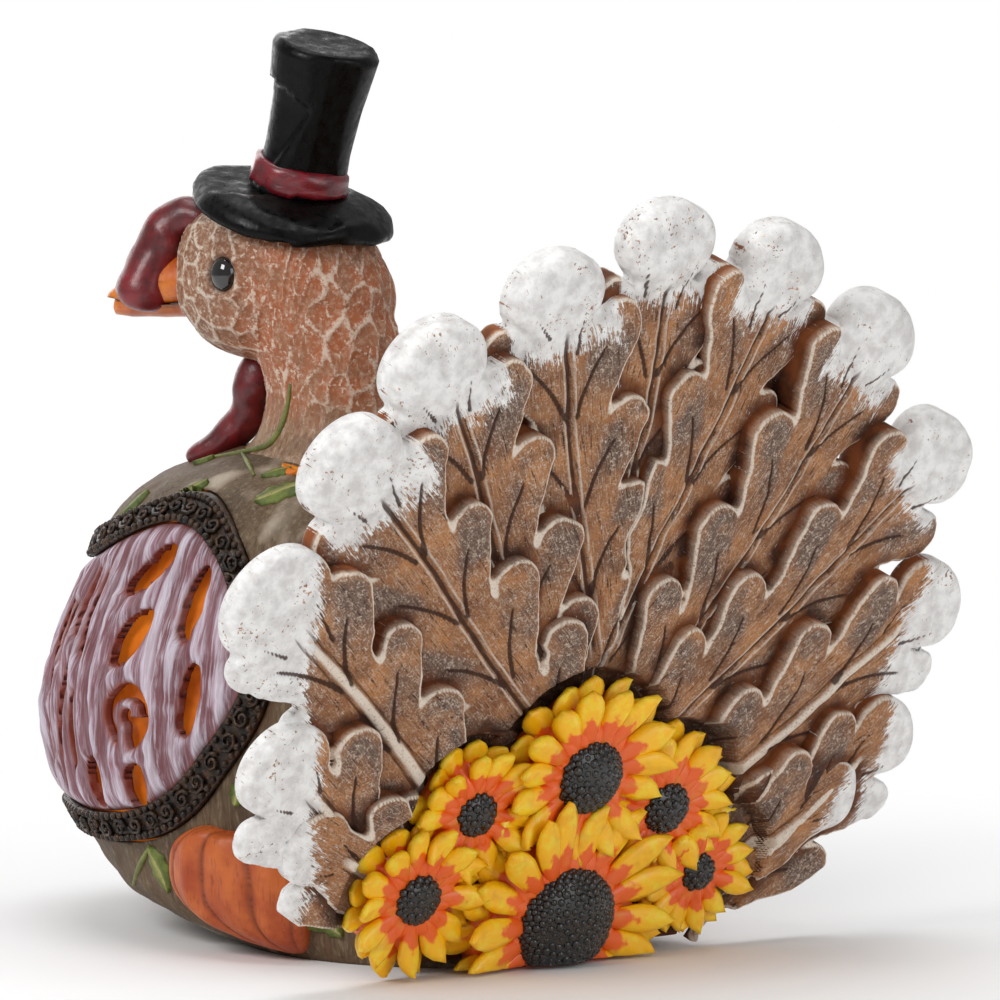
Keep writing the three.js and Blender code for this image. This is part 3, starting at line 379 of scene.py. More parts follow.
def carved_sheet(a, b, field, wall_rows, ring=False):
    """The part of a grid where field is negative, as top, bottom and walls, its border on the zero line.

    Gives each point's grid place, depth and layer (0 top, 1 bottom, between on the walls), and the faces.
    """
    grid_a, grid_b = np.meshgrid(a, b, indexing="ij")
    d = field(grid_a, grid_b)
    inside = d < 0
    ahead = np.roll(inside, -1, axis=0) if ring else inside[1:]
    behind = inside if ring else inside[:-1]
    cell = behind[:, :-1] | ahead[:, :-1] | ahead[:, 1:] | behind[:, 1:]
    slope_a, slope_b = np.gradient(d, a, b)
    steep = np.maximum(slope_a**2 + slope_b**2, 0.05)
    move = np.where(inside, 0, np.clip(d, 0, 1.2 * (a[1] - a[0])) / steep)
    grid_a, grid_b = grid_a - move * slope_a, grid_b - move * slope_b
    columns = len(b)
    ci, cj = np.nonzero(cell)
    ni = (ci + 1) % len(a)
    quads = np.stack([ci * columns + cj, ni * columns + cj, ni * columns + cj + 1, ci * columns + cj + 1], 1)
    used, quads = np.unique(quads, return_inverse=True)
    quads = quads.reshape(-1, 4)
    pa, pb, depth = grid_a.ravel()[used], grid_b.ravel()[used], np.maximum(0, -d.ravel()[used])
    count = len(used)
    edges = np.concatenate([quads[:, [k, (k + 1) % 4]] for k in range(4)])
    key = np.sort(edges, axis=1)
    _, first, times = np.unique(key, axis=0, return_index=True, return_counts=True)
    border = edges[first[times == 1]]
    rim = np.unique(border)
    spot = np.full(count, -1)
    spot[rim] = np.arange(len(rim))
    faces = quads.tolist() + (quads[:, ::-1] + count).tolist()
    layers = [np.zeros(count), np.ones(count)]
    place = [np.arange(count), np.arange(count)]
    lines = [rim] + [2 * count + r * len(rim) + np.arange(len(rim)) for r in range(wall_rows)] + [rim + count]
    for r in range(wall_rows):
        layers.append(np.full(len(rim), (r + 1) / (wall_rows + 1)))
        place.append(rim)
    for upper, lower in zip(lines, lines[1:]):
        p, q = spot[border[:, 0]], spot[border[:, 1]]
        faces += np.stack([upper[q], upper[p], lower[p], lower[q]], 1).tolist()
    place = np.concatenate(place)
    return pa[place], pb[place], depth[place], np.concatenate(layers), faces


def tube_rings(path, radii, sides, squash=1.0):
    """Points of rings along a path."""
    path = np.asarray(path, dtype=float)
    along = unit(np.gradient(path, axis=0))
    side = unit(np.cross(along, (0.13, 0.2, 1.0)))
    over = np.cross(side, along)
    turn = full_turn(sides)[None, :, None]
    ring = np.cos(turn) * side[:, None, :] + squash * np.sin(turn) * over[:, None, :]
    return (path[:, None, :] + ring * np.asarray(radii)[:, None, None]).reshape(-1, 3)


def fused(parts, voxel, rounds):
    """One smooth skin over several overlapping closed meshes."""
    verts, faces, start = [], [], 0
    for v, f in parts:
        verts.append(v)
        faces += [[int(i) + start for i in face] for face in f]
        start += len(v)
    mesh = bpy.data.meshes.new("blank")
    mesh.from_pydata(np.vstack(verts).tolist(), [], faces)
    blank = placed("blank", mesh)
    remesh = blank.modifiers.new("skin", "REMESH")
    remesh.mode = "VOXEL"
    remesh.voxel_size = voxel
    done = bpy.data.meshes.new_from_object(blank.evaluated_get(bpy.context.evaluated_depsgraph_get()))
    v = np.empty(len(done.vertices) * 3)
    done.vertices.foreach_get("co", v)
    v = v.reshape(-1, 3)
    f = [list(p.vertices) for p in done.polygons]
    ends = np.array([e.vertices[:] for e in done.edges])
    bpy.data.objects.remove(blank)
    bpy.data.meshes.remove(done)
    bpy.data.meshes.remove(mesh)
    return relaxed(v, ends, rounds), f


def relaxed(v, ends, rounds):
    """Points drawn toward the mean of their neighbours; ends are the two points of each edge."""
    number = np.bincount(ends.ravel(), minlength=len(v))[:, None]
    for _ in range(rounds):
        total = np.zeros_like(v)
        np.add.at(total, ends[:, 0], v[ends[:, 1]])
        np.add.at(total, ends[:, 1], v[ends[:, 0]])
        v = 0.5 * v + 0.5 * total / number
    return v


def outward(v, f):
    """Unit normals at the points of a closed mesh of quads or triangles."""
    mesh = bpy.data.meshes.new("normals")
    mesh.from_pydata(v.tolist(), [], f)
    n = np.empty(len(v) * 3)
    mesh.vertices.foreach_get("normal", n)
    bpy.data.meshes.remove(mesh)
    return n.reshape(-1, 3)


# Places on the body, the head and the fan
body_at = station_curve(BODY)


def on_body(s, z, out):
    """The point at a place round the body and a height, that far out of its skin."""
    angle = np.asarray(s) / WRAP_RADIUS
    w, d, y = np.moveaxis(body_at(z), -1, 0)
    nx, ny = np.sin(angle) / w, -np.cos(angle) / d
    size = np.hypot(nx, ny)
    return np.stack([w * np.sin(angle) + nx / size * out, y - d * np.cos(angle) + ny / size * out,
                     np.broadcast_to(z, np.shape(angle))], axis=-1)


AHEAD = np.array([math.sin(HEAD_TURN), -math.cos(HEAD_TURN), 0])
ASIDE = np.array([math.cos(HEAD_TURN), math.sin(HEAD_TURN), 0])
UP = np.array([0.0, 0.0, 1.0])


def in_head(ahead, aside, up):
    """The point at a place ahead, aside and above the head's middle."""
    return (HEAD + np.asarray(ahead)[..., None] * AHEAD + np.asarray(aside)[..., None] * ASIDE
            + np.asarray(up)[..., None] * UP)


hat_turn = np.array(Matrix.Rotation(HAT_TILT[0], 3, "X") @ Matrix.Rotation(HAT_TILT[1], 3, "Y"))


def in_hat(points):
    p = np.asarray(points) @ hat_turn.T + np.array(HAT_SEAT)
    return in_head(p[..., 0], p[..., 1], p[..., 2])


FAN_UP = np.array([0, math.sin(FAN_LEAN), math.cos(FAN_LEAN)])
FAN_OUT = np.array([0, math.cos(FAN_LEAN), -math.sin(FAN_LEAN)])


def on_fan(x, up, out):
    """The point at a place across and up the leaning fan, that far out of its back."""
    return (np.asarray(x)[..., None] * np.array([1.0, 0, 0]) + np.asarray(up)[..., None] * FAN_UP
            + np.asarray(out)[..., None] * FAN_OUT + np.array([0, FAN_Y, 0]))


def root_share(x, up):
    """Distance from the middle of the root block as a share of its radius."""
    return np.hypot((x - ROOT[0]) / ROOT[2], (up - ROOT[1]) / ROOT[3])


# Painted finishes
def shade(code):
    """Linear colour of a paint given as a hex code."""
    parts = [int(code[i:i + 2], 16) / 255 for i in (0, 2, 4)]
    return tuple(c / 12.92 if c <= 0.04045 else ((c + 0.055) / 1.055) ** 2.4 for c in parts) + (1.0,)


class Paint:
    """A finish built from shader nodes on the Principled shader."""

    def __init__(self, name, **settings):
        self.material = bpy.data.materials.new(name)
        self.material.use_nodes = True
        self.tree = self.material.node_tree
        self.shader = self.tree.nodes["Principled BSDF"]
        for socket, value in settings.items():
            self.shader.inputs[socket.replace("_", " ")].default_value = value

    def put(self, socket, value):
        if isinstance(value, bpy.types.NodeSocket):
            self.tree.links.new(value, socket)
        else:
            socket.default_value = value

    def node(self, kind, *values, **settings):
        made = self.tree.nodes.new(kind)
        for key, value in settings.items():
            setattr(made, key, value)
        for socket, value in zip(made.inputs, values):
            self.put(socket, value)
        return made

    def mark(self, name):
        return self.node("ShaderNodeAttribute", attribute_name=name).outputs["Fac"]

    def mark_vector(self, name):
        return self.node("ShaderNodeAttribute", attribute_name=name).outputs["Vector"]

    def place(self, stretch=(1, 1, 1)):
        """Object coordinates in millimetres."""
        coords = self.node("ShaderNodeTexCoord").outputs["Object"]
        return self.stretched(coords, tuple(s / MM for s in stretch))

    def stretched(self, vector, stretch):
        mapping = self.node("ShaderNodeMapping")
        self.put(mapping.inputs["Vector"], vector)
        mapping.inputs["Scale"].default_value = stretch
        return mapping.outputs["Vector"]

    def noise(self, vector, scale, detail, rough=0.55, bend=0.0):
        made = self.node("ShaderNodeTexNoise")
        self.put(made.inputs["Vector"], vector)
        values = {"Scale": scale, "Detail": detail, "Roughness": rough, "Distortion": bend}
        for socket, value in values.items():
            made.inputs[socket].default_value = value
        return made.outputs["Fac"]

    def band(self, value, low, high):
        """0 below low, 1 above high, or the other way round."""
        made = self.node("ShaderNodeMapRange")
        self.put(made.inputs["Value"], value)
        made.inputs["From Min"].default_value = low
        made.inputs["From Max"].default_value = high
        return made.outputs["Result"]

    def math(self, operation, a, b, c=0.0):
        return self.node("ShaderNodeMath", a, b, c, operation=operation).outputs[0]

    def mix(self, share, a, b):
        """A share of colour b in colour a; a colour is a hex code or another pattern."""
        made = self.node("ShaderNodeMix", data_type="RGBA")
        self.put(made.inputs[0], share)
        for socket, color in ((6, a), (7, b)):
            self.put(made.inputs[socket], shade(color) if isinstance(color, str) else color)
        return made.outputs[2]

    def both(self, a, b):
        return self.math("MULTIPLY", a, b)

    def evened(self, value):
        """A pattern moved to lie round zero."""
        return self.math("SUBTRACT", value, 0.5)

    def tones(self, vector, scale, detail, edges, dark, light):
        """Two colours in soft blotches."""
        return self.mix(self.band(self.noise(vector, scale, detail), *edges), dark, light)

    def over(self, color, mask, strength, other):
        """Another colour over part of a first one."""
        return self.mix(self.both(mask, strength), color, other)

    def flecks(self, color, vector, scale, edges, other):
        """Fine flecks of another colour."""
        return self.mix(self.band(self.noise(vector, scale, 4, 0.7), *edges), color, other)

    def done(self, color, rough, height, strength, deep):
        """The finished material; rough may be left out, and height is a pattern of so many millimetres."""
        self.put(self.shader.inputs["Base Color"], color)
        if rough is not None:
            self.put(self.shader.inputs["Roughness"], rough)
        bump = self.node("ShaderNodeBump")
        bump.inputs["Strength"].default_value = strength
        bump.inputs["Distance"].default_value = deep * MM
        self.put(bump.inputs["Height"], height)
        self.put(self.shader.inputs["Normal"], bump.outputs["Normal"])
        return self.material


def feather_paint():
    p = Paint("feather_paint", Specular_IOR_Level=0.3)
    grain = p.mark_vector("grain")
    where = p.place()
    blotch = p.noise(where, 0.13, 3)
    speck = p.noise(where, 2.1, 5, 0.72)
    dab = p.noise(where, 0.7, 5, 0.7)
    fibre = p.noise(p.stretched(grain, (0.14, 1.7, 1)), 1.0, 5, 0.66, 0.4)
    hair = p.noise(p.stretched(grain, (0.3, 3.2, 1)), 1.0, 4, 0.6, 0.5)
    color = p.mix(p.band(blotch, 0.36, 0.64), "85583b", "b67e50")
    color = p.over(color, p.mark("lobe"), p.band(p.noise(where, 0.09, 3), 0.36, 0.56), "6d574c")
    color = p.over(color, p.band(hair, 0.46, 0.36), 0.5, "cdb8a2")
    color = p.over(color, p.band(speck, 0.45, 0.36), 0.5, "5a3c2a")
    color = p.over(color, p.band(fibre, 0.57, 0.63), 0.85, "3a2115")
    dust = p.band(p.math("ADD", speck, p.both(dab, 0.6)), 0.82, 0.98)
    color = p.over(color, dust, p.math("MULTIPLY_ADD", p.mark("lobe"), 0.35, 0.55), "d3c0ae")
    # Painted shade: dark brown where other feathers lie over this one, and over the slab beneath the feathers
    color = p.over(color, p.mark("recess_shade"), 0.92, p.mix(p.band(blotch, 0.4, 0.6), "34190c", "6e3a1c"))
    rubbed = p.band(p.math("ADD", speck, p.both(dab, 0.5)), 0.5, 0.72)
    color = p.over(color, p.band(p.mark("edge"), 0.2, 0.65), rubbed, "e6d8c8")
    color = p.mix(p.mark("wall"), color, p.mix(p.band(blotch, 0.35, 0.6), "4a2613", "8f4d24"))
    wander = p.math("ADD", p.both(p.evened(dab), 1.2), p.both(p.evened(hair), 2.4))
    white = p.band(p.math("ADD", p.mark("white"), wander), 0.46, 0.56)
    pits = p.math("ADD", p.noise(where, 1.15, 3, 0.6), p.both(p.noise(where, 0.11, 2), 0.5))
    brush = p.noise(where, 0.3, 4, 0.6)
    tip_white = p.mix(p.band(brush, 0.36, 0.6), "d6d3d1", "f3f2f0")
    color = p.over(color, white, p.band(pits, 0.545, 0.575), tip_white)
    color = p.over(color, p.band(p.mark("vein"), 0.3, 0.6), 0.9, "40251a")
    # Painted shade: dark brown round the sunflowers, where the feathers sink under them
    color = p.mix(p.mark("flower_shade"), color, "2c1a10")
    bare = p.both(hair, p.math("SUBTRACT", 1.0, p.mark("white")))
    height = p.math("ADD", p.both(p.math("ADD", dab, bare), 0.8), p.both(speck, 0.4))
    return p.done(color, p.band(p.mark("white"), 1.9, -0.6), height, 0.7, 0.4)


def petal_paint():
    p = Paint("petal_paint", Coat_Weight=0.35, Coat_Roughness=0.18)
    where = p.place()
    wander = p.noise(where, 0.45, 3)
    reach = p.math("ADD", p.mark("along"), p.both(p.mark("rim"), 0.2))
    reach = p.math("ADD", reach, p.both(p.evened(wander), 0.35))
    color = p.mix(p.band(reach, 0.5, 0.57), "f0620f", "ffc000")
    pale = p.band(p.noise(where, 0.3, 3), 0.46, 0.62)
    color = p.over(color, pale, p.band(reach, 0.58, 0.7), "fbd526")
    color = p.over(color, p.band(p.noise(where, 0.22, 2), 0.56, 0.72), 0.4, "d8941c")
    color = p.flecks(color, where, 1.3, (0.68, 0.74), "a8501a")
    return p.done(color, p.band(wander, -0.4, 1.6), p.noise(where, 0.8, 4), 0.35, 0.3)


def seed_gloss():
    p = Paint("seed_gloss", Coat_Weight=0.6, Coat_Roughness=0.2)
    where = p.place()
    color = p.tones(where, 0.6, 3, (0.45, 0.7), "060505", "17110d")
    return p.done(color, p.band(p.noise(where, 1.1, 2), 0.0, 1.6), p.noise(where, 1.4, 3), 0.3, 0.2)


def wood_paint():
    p = Paint("wood_paint", Specular_IOR_Level=0.3, Roughness=0.62)
    where = p.place()
    fibre = p.noise(p.place((1.1, 1.1, 0.13)), 1.0, 5, 0.65, 0.25)
    patch = p.noise(where, 0.06, 3)
    color = p.mix(p.band(patch, 0.35, 0.65), "524230", "6b5740")
    color = p.over(color, p.band(fibre, 0.5, 0.66), 0.75, "453224")
    color = p.over(color, p.band(fibre, 0.46, 0.32), 0.55, "94836b")
    color = p.over(color, p.band(p.mark("cut"), -0.1, -0.7), 0.6, "5e3f2a")
    color = p.over(color, p.band(p.mark("cut"), 0.25, 0.8), 0.5, "d8cab6")
    color = p.flecks(color, where, 1.4, (0.66, 0.72), "4a3526")
    return p.done(color, None, fibre, 0.6, 0.4)


def head_paint():
    p = Paint("head_paint", Specular_IOR_Level=0.35, Roughness=0.5)
    where = p.place()
    speck = p.noise(where, 1.5, 5, 0.7)
    patch = p.noise(where, 0.16, 3)
    fibre = p.noise(p.place((1.1, 1.1, 0.13)), 1.0, 5, 0.65, 0.25)
    color = p.mix(p.mark("cell"), "8c583d", "a56e4e")
    color = p.over(color, p.band(p.mark("face"), 0.75, 0.1), p.band(patch, 0.36, 0.56), "a9603a")
    color = p.over(color, p.band(speck, 0.57, 0.68), 0.5, "63402b")
    width = p.math("ADD", p.both(p.mark("face"), 0.2), p.both(p.math("SUBTRACT", patch, 0.36), 1.9))
    worn = p.math("ADD", p.mark("crack"), p.both(p.evened(speck), 3.2))
    line = p.band(p.math("SUBTRACT", worn, width), 0.55, -0.15)
    thin = p.band(p.math("ADD", p.mark("fine"), p.both(p.evened(speck), 2.0)), 0.4, 0.0)
    thin = p.both(thin, p.both(p.band(patch, 0.36, 0.52), 0.85))
    color = p.over(color, p.mark("face"), 0.4, "684c3a")
    dust = p.band(p.noise(where, 0.8, 5, 0.75), 0.48, 0.6)
    dust = p.both(dust, p.math("MULTIPLY_ADD", p.mark("face"), 0.25, 0.45))
    color = p.over(color, dust, 0.75, "d2bda6")
    color = p.mix(p.math("MAXIMUM", p.both(line, 0.68), thin), color, "e6d8c6")
    low = p.tones(where, 0.06, 3, (0.35, 0.65), "7d6650", "9a7f62")
    low = p.over(low, p.band(fibre, 0.5, 0.66), 0.75, "4f3a2b")
    low = p.over(low, p.band(fibre, 0.46, 0.32), 0.6, "c8b7a0")
    color = p.over(color, p.mark("lower"), 0.85, low)
    color = p.over(color, p.mark("socket"), 0.75, "4a2e1e")
    return p.done(color, None, p.math("ADD", speck, fibre), 0.4, 0.3)


def lilac_paint():
    p = Paint("lilac_paint", Specular_IOR_Level=0.35, Roughness=0.5)
    where = p.place()
    brush = p.noise(p.stretched(p.mark_vector("grain"), (1.5, 0.1, 1)), 1.0, 5, 0.65, 0.2)
    color = p.tones(where, 0.12, 3, (0.35, 0.65), "74484d", "946a75")
    color = p.over(color, p.band(brush, 0.46, 0.6), 0.75, "cfc6d4")
    color = p.over(color, p.band(p.mark("stroke"), 0.1, 0.55), 0.5, "d9d2de")
    color = p.over(color, p.band(p.mark("stroke"), -0.1, -0.5), 0.7, "6e3f42")
    color = p.over(color, p.mark("wall"), 0.75, "8a3c22")
    return p.done(color, None, brush, 0.5, 0.35)


def bronze_paint():
    p = Paint("bronze_paint", Metallic=0.35, Roughness=0.42)
    where = p.place()
    color = p.tones(where, 0.5, 4, (0.42, 0.66), "1c1714", "4a3424")
    color = p.mix(p.band(p.noise(where, 1.6, 3), 0.6, 0.75), color, "7a4f2c")
    return p.done(color, None, p.noise(where, 1.8, 3), 0.4, 0.2)


def eye_gloss():
    p = Paint("eye_gloss", Roughness=0.08, Coat_Weight=1.0, Coat_Roughness=0.03)
    where = p.place()
    color = p.tones(where, 0.6, 3, (0.4, 0.7), "070606", "1a120e")
    return p.done(color, None, p.noise(where, 0.7, 2), 0.1, 0.1)


def beak_paint():
    p = Paint("beak_paint", Roughness=0.36, Coat_Weight=0.3, Coat_Roughness=0.25)
    where = p.place()
    color = p.tones(where, 0.2, 3, (0.35, 0.65), "b9520f", "da7d24")
    color = p.over(color, p.band(p.noise(p.place((0.3, 0.3, 1.4)), 1, 4), 0.55, 0.7), 0.6, "8a3f14")
    color = p.over(color, p.mark("lips"), 0.8, "5a2410")
    return p.done(color, None, p.noise(where, 1.0, 4), 0.3, 0.25)


def crimson_paint():
    p = Paint("crimson_paint", Coat_Weight=0.25, Coat_Roughness=0.2)
    where = p.place()
    color = p.tones(where, 0.3, 4, (0.35, 0.65), "4c040a", "760a14")
    # Painted highlight on the raised lumps, and painted shade in the dips between them
    color = p.over(color, p.band(p.mark("lump"), 0.15, 0.6), 0.6, "8a1e28")
    color = p.over(color, p.band(p.mark("lump"), -0.1, -0.5), 0.7, "3c060b")
    color = p.over(color, p.band(p.mark("fall"), 0.75, 1.0), 0.3, "8e2a34")
    return p.done(color, p.band(p.noise(where, 0.8, 3), -0.3, 1.7), p.noise(where, 1.1, 4), 0.35, 0.3)


def ribbon_paint():
    p = Paint("ribbon_paint", Coat_Weight=0.5, Coat_Roughness=0.2, Roughness=0.35)
    where = p.place()
    color = p.tones(where, 0.3, 4, (0.35, 0.65), "560b16", "80121f")
    color = p.over(color, p.band(p.noise(p.place((1, 1, 2.2)), 0.7, 4), 0.58, 0.72), 0.7, "2a0508")
    return p.done(color, None, p.noise(p.place((0.5, 0.5, 1.6)), 1.0, 3), 0.4, 0.3)


def hat_paint():
    p = Paint("hat_paint", Specular_IOR_Level=0.16)
    where = p.place()
    color = p.tones(where, 0.18, 4, (0.4, 0.68), "030303", "080808")
    color = p.over(color, p.band(p.noise(where, 1.5, 4, 0.7), 0.64, 0.74), 0.3, "121110")
    rough = p.band(p.noise(where, 0.5, 3), 0.1, 1.2)
    return p.done(color, rough, p.noise(p.place((1, 1, 0.35)), 0.9, 4), 0.25, 0.3)


def pumpkin_paint():
    p = Paint("pumpkin_paint", Specular_IOR_Level=0.4, Roughness=0.45)
    where = p.place()
    fibre = p.noise(p.place((1.2, 1.2, 0.2)), 1.0, 4, 0.6)
    color = p.tones(where, 0.12, 3, (0.35, 0.65), "a5441b", "c4652d")
    color = p.over(color, p.band(fibre, 0.55, 0.68), 0.6, "83330f")
    color = p.over(color, p.band(p.mark("groove"), 0.45, 0.95), 0.8, "5c2410")
    color = p.flecks(color, where, 1.3, (0.68, 0.74), "d98a4c")
    return p.done(color, None, fibre, 0.4, 0.3)


def amber_glow():
    p = Paint("amber_diffuser", Roughness=0.4)
    where = p.place()
    color = p.tones(where, 0.08, 3, (0.35, 0.7), "9c4210", "d8761e")
    # Painted light: the diffuser gives off a faint amber glow of its own, though nothing in the scene lights
    # it from within
    p.put(p.shader.inputs["Emission Color"], color)
    p.shader.inputs["Emission Strength"].default_value = 0.4
    return p.done(color, None, p.noise(where, 0.8, 3), 0.3, 0.3)


def leaf_paint():
    p = Paint("leaf_paint", Specular_IOR_Level=0.35, Roughness=0.48)
    where = p.place()
    color = p.tones(where, 0.25, 3, (0.35, 0.65), "38481b", "68752e")
    color = p.over(color, p.mark("vein"), 0.7, "c2b878")
    color = p.flecks(color, where, 1.2, (0.6, 0.7), "3a3018")
    return p.done(color, None, p.noise(where, 1.2, 4), 0.4, 0.3)


def blossom_paint():
    p = Paint("blossom_paint", Specular_IOR_Level=0.35, Roughness=0.45)
    where = p.place()
    color = p.tones(where, 0.3, 3, (0.4, 0.65), "d8701a", "f0a82c")
    color = p.over(color, p.mark("vein"), 0.6, "9c3c10")
    return p.done(color, None, p.noise(where, 1.2, 4), 0.3, 0.3)


def plain_stuff(name, dark, light, scale, **settings):
    p = Paint(name, **settings)
    where = p.place()
    color = p.tones(where, scale, 4, (0.35, 0.68), dark, light)
    return p.done(color, None, p.noise(where, scale * 3, 4), 0.25, 0.15)


WOOD_PAINT = wood_paint()
HEAD_PAINT = head_paint()
LILAC_PAINT = lilac_paint()
BRONZE_PAINT = bronze_paint()
EYE_GLOSS = eye_gloss()
BEAK_PAINT = beak_paint()
CRIMSON_PAINT = crimson_paint()
RIBBON_PAINT = ribbon_paint()
HAT_PAINT = hat_paint()
PUMPKIN_PAINT = pumpkin_paint()
LEAF_PAINT = leaf_paint()
BLOSSOM_PAINT = blossom_paint()
BLACK_PLASTIC = plain_stuff("black_plastic", "101012", "1d1d20", 0.8, Roughness=0.5)
PLATED_STEEL = plain_stuff("plated_steel", "9a9a98", "c4c4c2", 0.9, Metallic=1.0, Roughness=0.3)
CELL_JACKET = plain_stuff("cell_jacket", "2f3338", "4a5058", 0.3, Roughness=0.35)
BOARD_LACQUER = plain_stuff("board_lacquer", "14401f", "1f5a2c", 0.7, Roughness=0.35)
LAMP_LENS = plain_stuff("lamp_lens", "d8c9a0", "efe4c4", 0.6, Roughness=0.15, Transmission_Weight=0.6)
RED_WIRE = plain_stuff("red_wire", "8a1414", "b01e1e", 0.8, Roughness=0.45)
BLACK_WIRE = plain_stuff("black_wire", "141414", "222222", 0.8, Roughness=0.45)
FEATHER_PAINT = feather_paint()
PETAL_PAINT = petal_paint()
SEED_GLOSS = seed_gloss()


# Tail feathers
flower_places = np.array([(x, up, r) for _, x, up, r, *_ in SUNFLOWERS], dtype=float)


def flower_edge(x, up):
    """Distance outside the nearest sunflower, negative inside it."""
    away = [np.hypot(x - fx, up - fup) - r for fx, fup, r in flower_places]
    return np.min(away, axis=0)


class FeatherForm:
    """The outline of one feather on the fan: a spine with fingers and a rounded tip."""

    def __init__(self, layout, side, seed):
        self.tip_x, self.tip_up, turn, self.length, self.painted, both_sides, self.stem, tip = layout
        turn = math.radians(turn)
        self.side, self.seed = side, seed
        self.tip_wide, self.tip_long = TIP_WIDE * tip, TIP_LONG * tip
        self.along = (math.sin(turn), math.cos(turn))
        self.upper = (-math.cos(turn), math.sin(turn))
        self.fingers = []
        random = np.random.default_rng(seed)
        u0 = self.length - TIP_LONG - FINGER["first"]
        while u0 > FINGER["pitch"] * 0.6:
            for way in ((1, -1) if both_sides else (1,)):
                long = FINGER["long"] * random.uniform(0.92, 1.05)
                wide = FINGER["r"] * random.uniform(0.9, 1.06)
                bend = way * FINGER["turn"] * random.uniform(0.9, 1.08)
                base = (u0 - FINGER["long"] * 0.75, 0.0)
                end = (base[0] + long * math.cos(bend), base[1] + long * math.sin(bend))
                self.fingers.append((base, end, wide, way))
            u0 -= FINGER["pitch"]

    def fan_place(self, u, v):
        """The place on the fan at coordinates along the feather and across it."""
        x = self.tip_x - self.along[0] * (self.length - u) + self.upper[0] * v
        return (self.side or 1) * x, self.tip_up - self.along[1] * (self.length - u) + self.upper[1] * v

    def own_place(self, x, up):
        """The feather's own coordinates, along it and across it, at a place on the fan."""
        dx, dy = (self.side or 1) * x - self.tip_x, up - self.tip_up
        u = self.length + dx * self.along[0] + dy * self.along[1]
        return u, dx * self.upper[0] + dy * self.upper[1]

    def tip_share(self, u, v):
        return np.hypot(v / self.tip_wide, (u - self.length) / self.tip_long)

    def field(self, u, v):
        """Distance to the feather's outline, negative inside it."""
        d, _, _ = capsule(u, v, (0, 0), (self.length - TIP_LONG - 7, 0), SPINE_HALF * 0.8, SPINE_HALF)
        for base, end, wide, _ in self.fingers:
            d = soft_min(d, capsule(u, v, base, end, wide * 0.8, wide)[0], 2.2)
        d = soft_min(d, capsule(u, v, (self.length - 24, 0), (self.length, 0), NECK_HALF, NECK_HALF)[0], 3.0)
        x, up = self.fan_place(u, v)
        spots = points_of(x.ravel(), up.ravel(), self.seed * 7.0)
        d = d + 0.5 * ripple(spots, 5, self.seed).reshape(d.shape)
        d = d + 0.2 * ripple(spots, 1.8, self.seed + 9).reshape(d.shape)
        share = np.maximum(self.tip_share(u, v), 1e-6)
        pull = np.hypot(v / self.tip_wide**2, (u - self.length) / self.tip_long**2)
        d = soft_min(d, share * (share - 1) / np.maximum(pull, 1e-6), 1.2)
        d = np.maximum(d, (ROOT_GAP - root_share(x, up)) * ROOT_MEAN)
        if self.side:
            d = np.maximum(d, 0.2 - self.side * (x + 1.4 * np.sin(up * 0.17) + 0.7 * np.sin(up * 0.43)))
        skirt = SKIRT_RISE * np.maximum(0, np.abs(x) - FAN_SKIRT)
        return np.maximum(d, FAN_CLEAR + skirt - up * math.cos(FAN_LEAN))

    def carving(self, u, v):
        """Knife-cut veins and nicks, and how far a point lies out on a finger."""
        groove, lobe = np.zeros(len(u)), np.zeros(len(u))
        for base, end, wide, way in self.fingers:
            away, q, across = capsule(u, v, base, end, 0, 0)
            run = np.clip(q, 0, 1)
            middle = -way * VEIN_BEND * np.sin(run * np.pi)
            line = smooth_step(0.85, 0.3, np.abs(across - middle) + 0.3 * run)
            line = line * smooth_step(0.12, 0.2, q) * smooth_step(0.86, 0.74, q)
            groove = np.maximum(groove, line * (away < wide))
            lobe = np.maximum(lobe, smooth_step(wide + 0.5, wide - 2.5, away) * smooth_step(0.25, 0.7, q))
        random = np.random.default_rng(self.seed + 300)
        for nick in NICKS:
            near, far, aside, lean = np.array(nick) * random.uniform(0.8, 1.2, 4) * self.tip_long / TIP_LONG
            start, end = (self.length - near, aside), (self.length - far, aside + lean)
            away, q, _ = capsule(u, v, start, end, 0, 0)
            groove = np.maximum(groove, smooth_step(0.65, 0.2, away + 0.4 * np.clip(q, 0, 1)))
        return groove, lobe

    def stem_lines(self, u, v):
        """Lines along the stem: a raised rib, the ditch beside it, a cleft and the lips of the cleft."""
        aside = np.abs(v - 0.8 * np.sin(u * 0.07 + self.seed))
        half = 0.6 + 0.8 * (1 - u / self.length)
        lines = (smooth_step(half + 0.6, half - 0.2, aside), np.exp(-(((aside - half - 0.9) / 0.5) ** 2)),
                 smooth_step(0.9, 0.4, aside), np.exp(-(((aside - 1.25) / 0.36) ** 2)))
        reach = smooth_step(4, 12, u) * smooth_step(self.length - 4, self.length - 11, u)
        return [line * reach for line in lines]

    def white_share(self, u, v, spots):
        """How white the tip is painted, with a ragged edge toward the leaf."""
        ragged = 2.6 * ripple(spots, 5, self.seed + 5) + 1.8 * ripple(spots, 1.6, self.seed + 6)
        past = u - (self.length + 10 - self.painted) + 0.8 * ragged
        if self.stem:
            return smooth_step(-6, 6, past - 1.2 * v)
        return smooth_step(-6, 6, past) * smooth_step(1.25, 0.95, np.abs(v) / self.tip_wide)


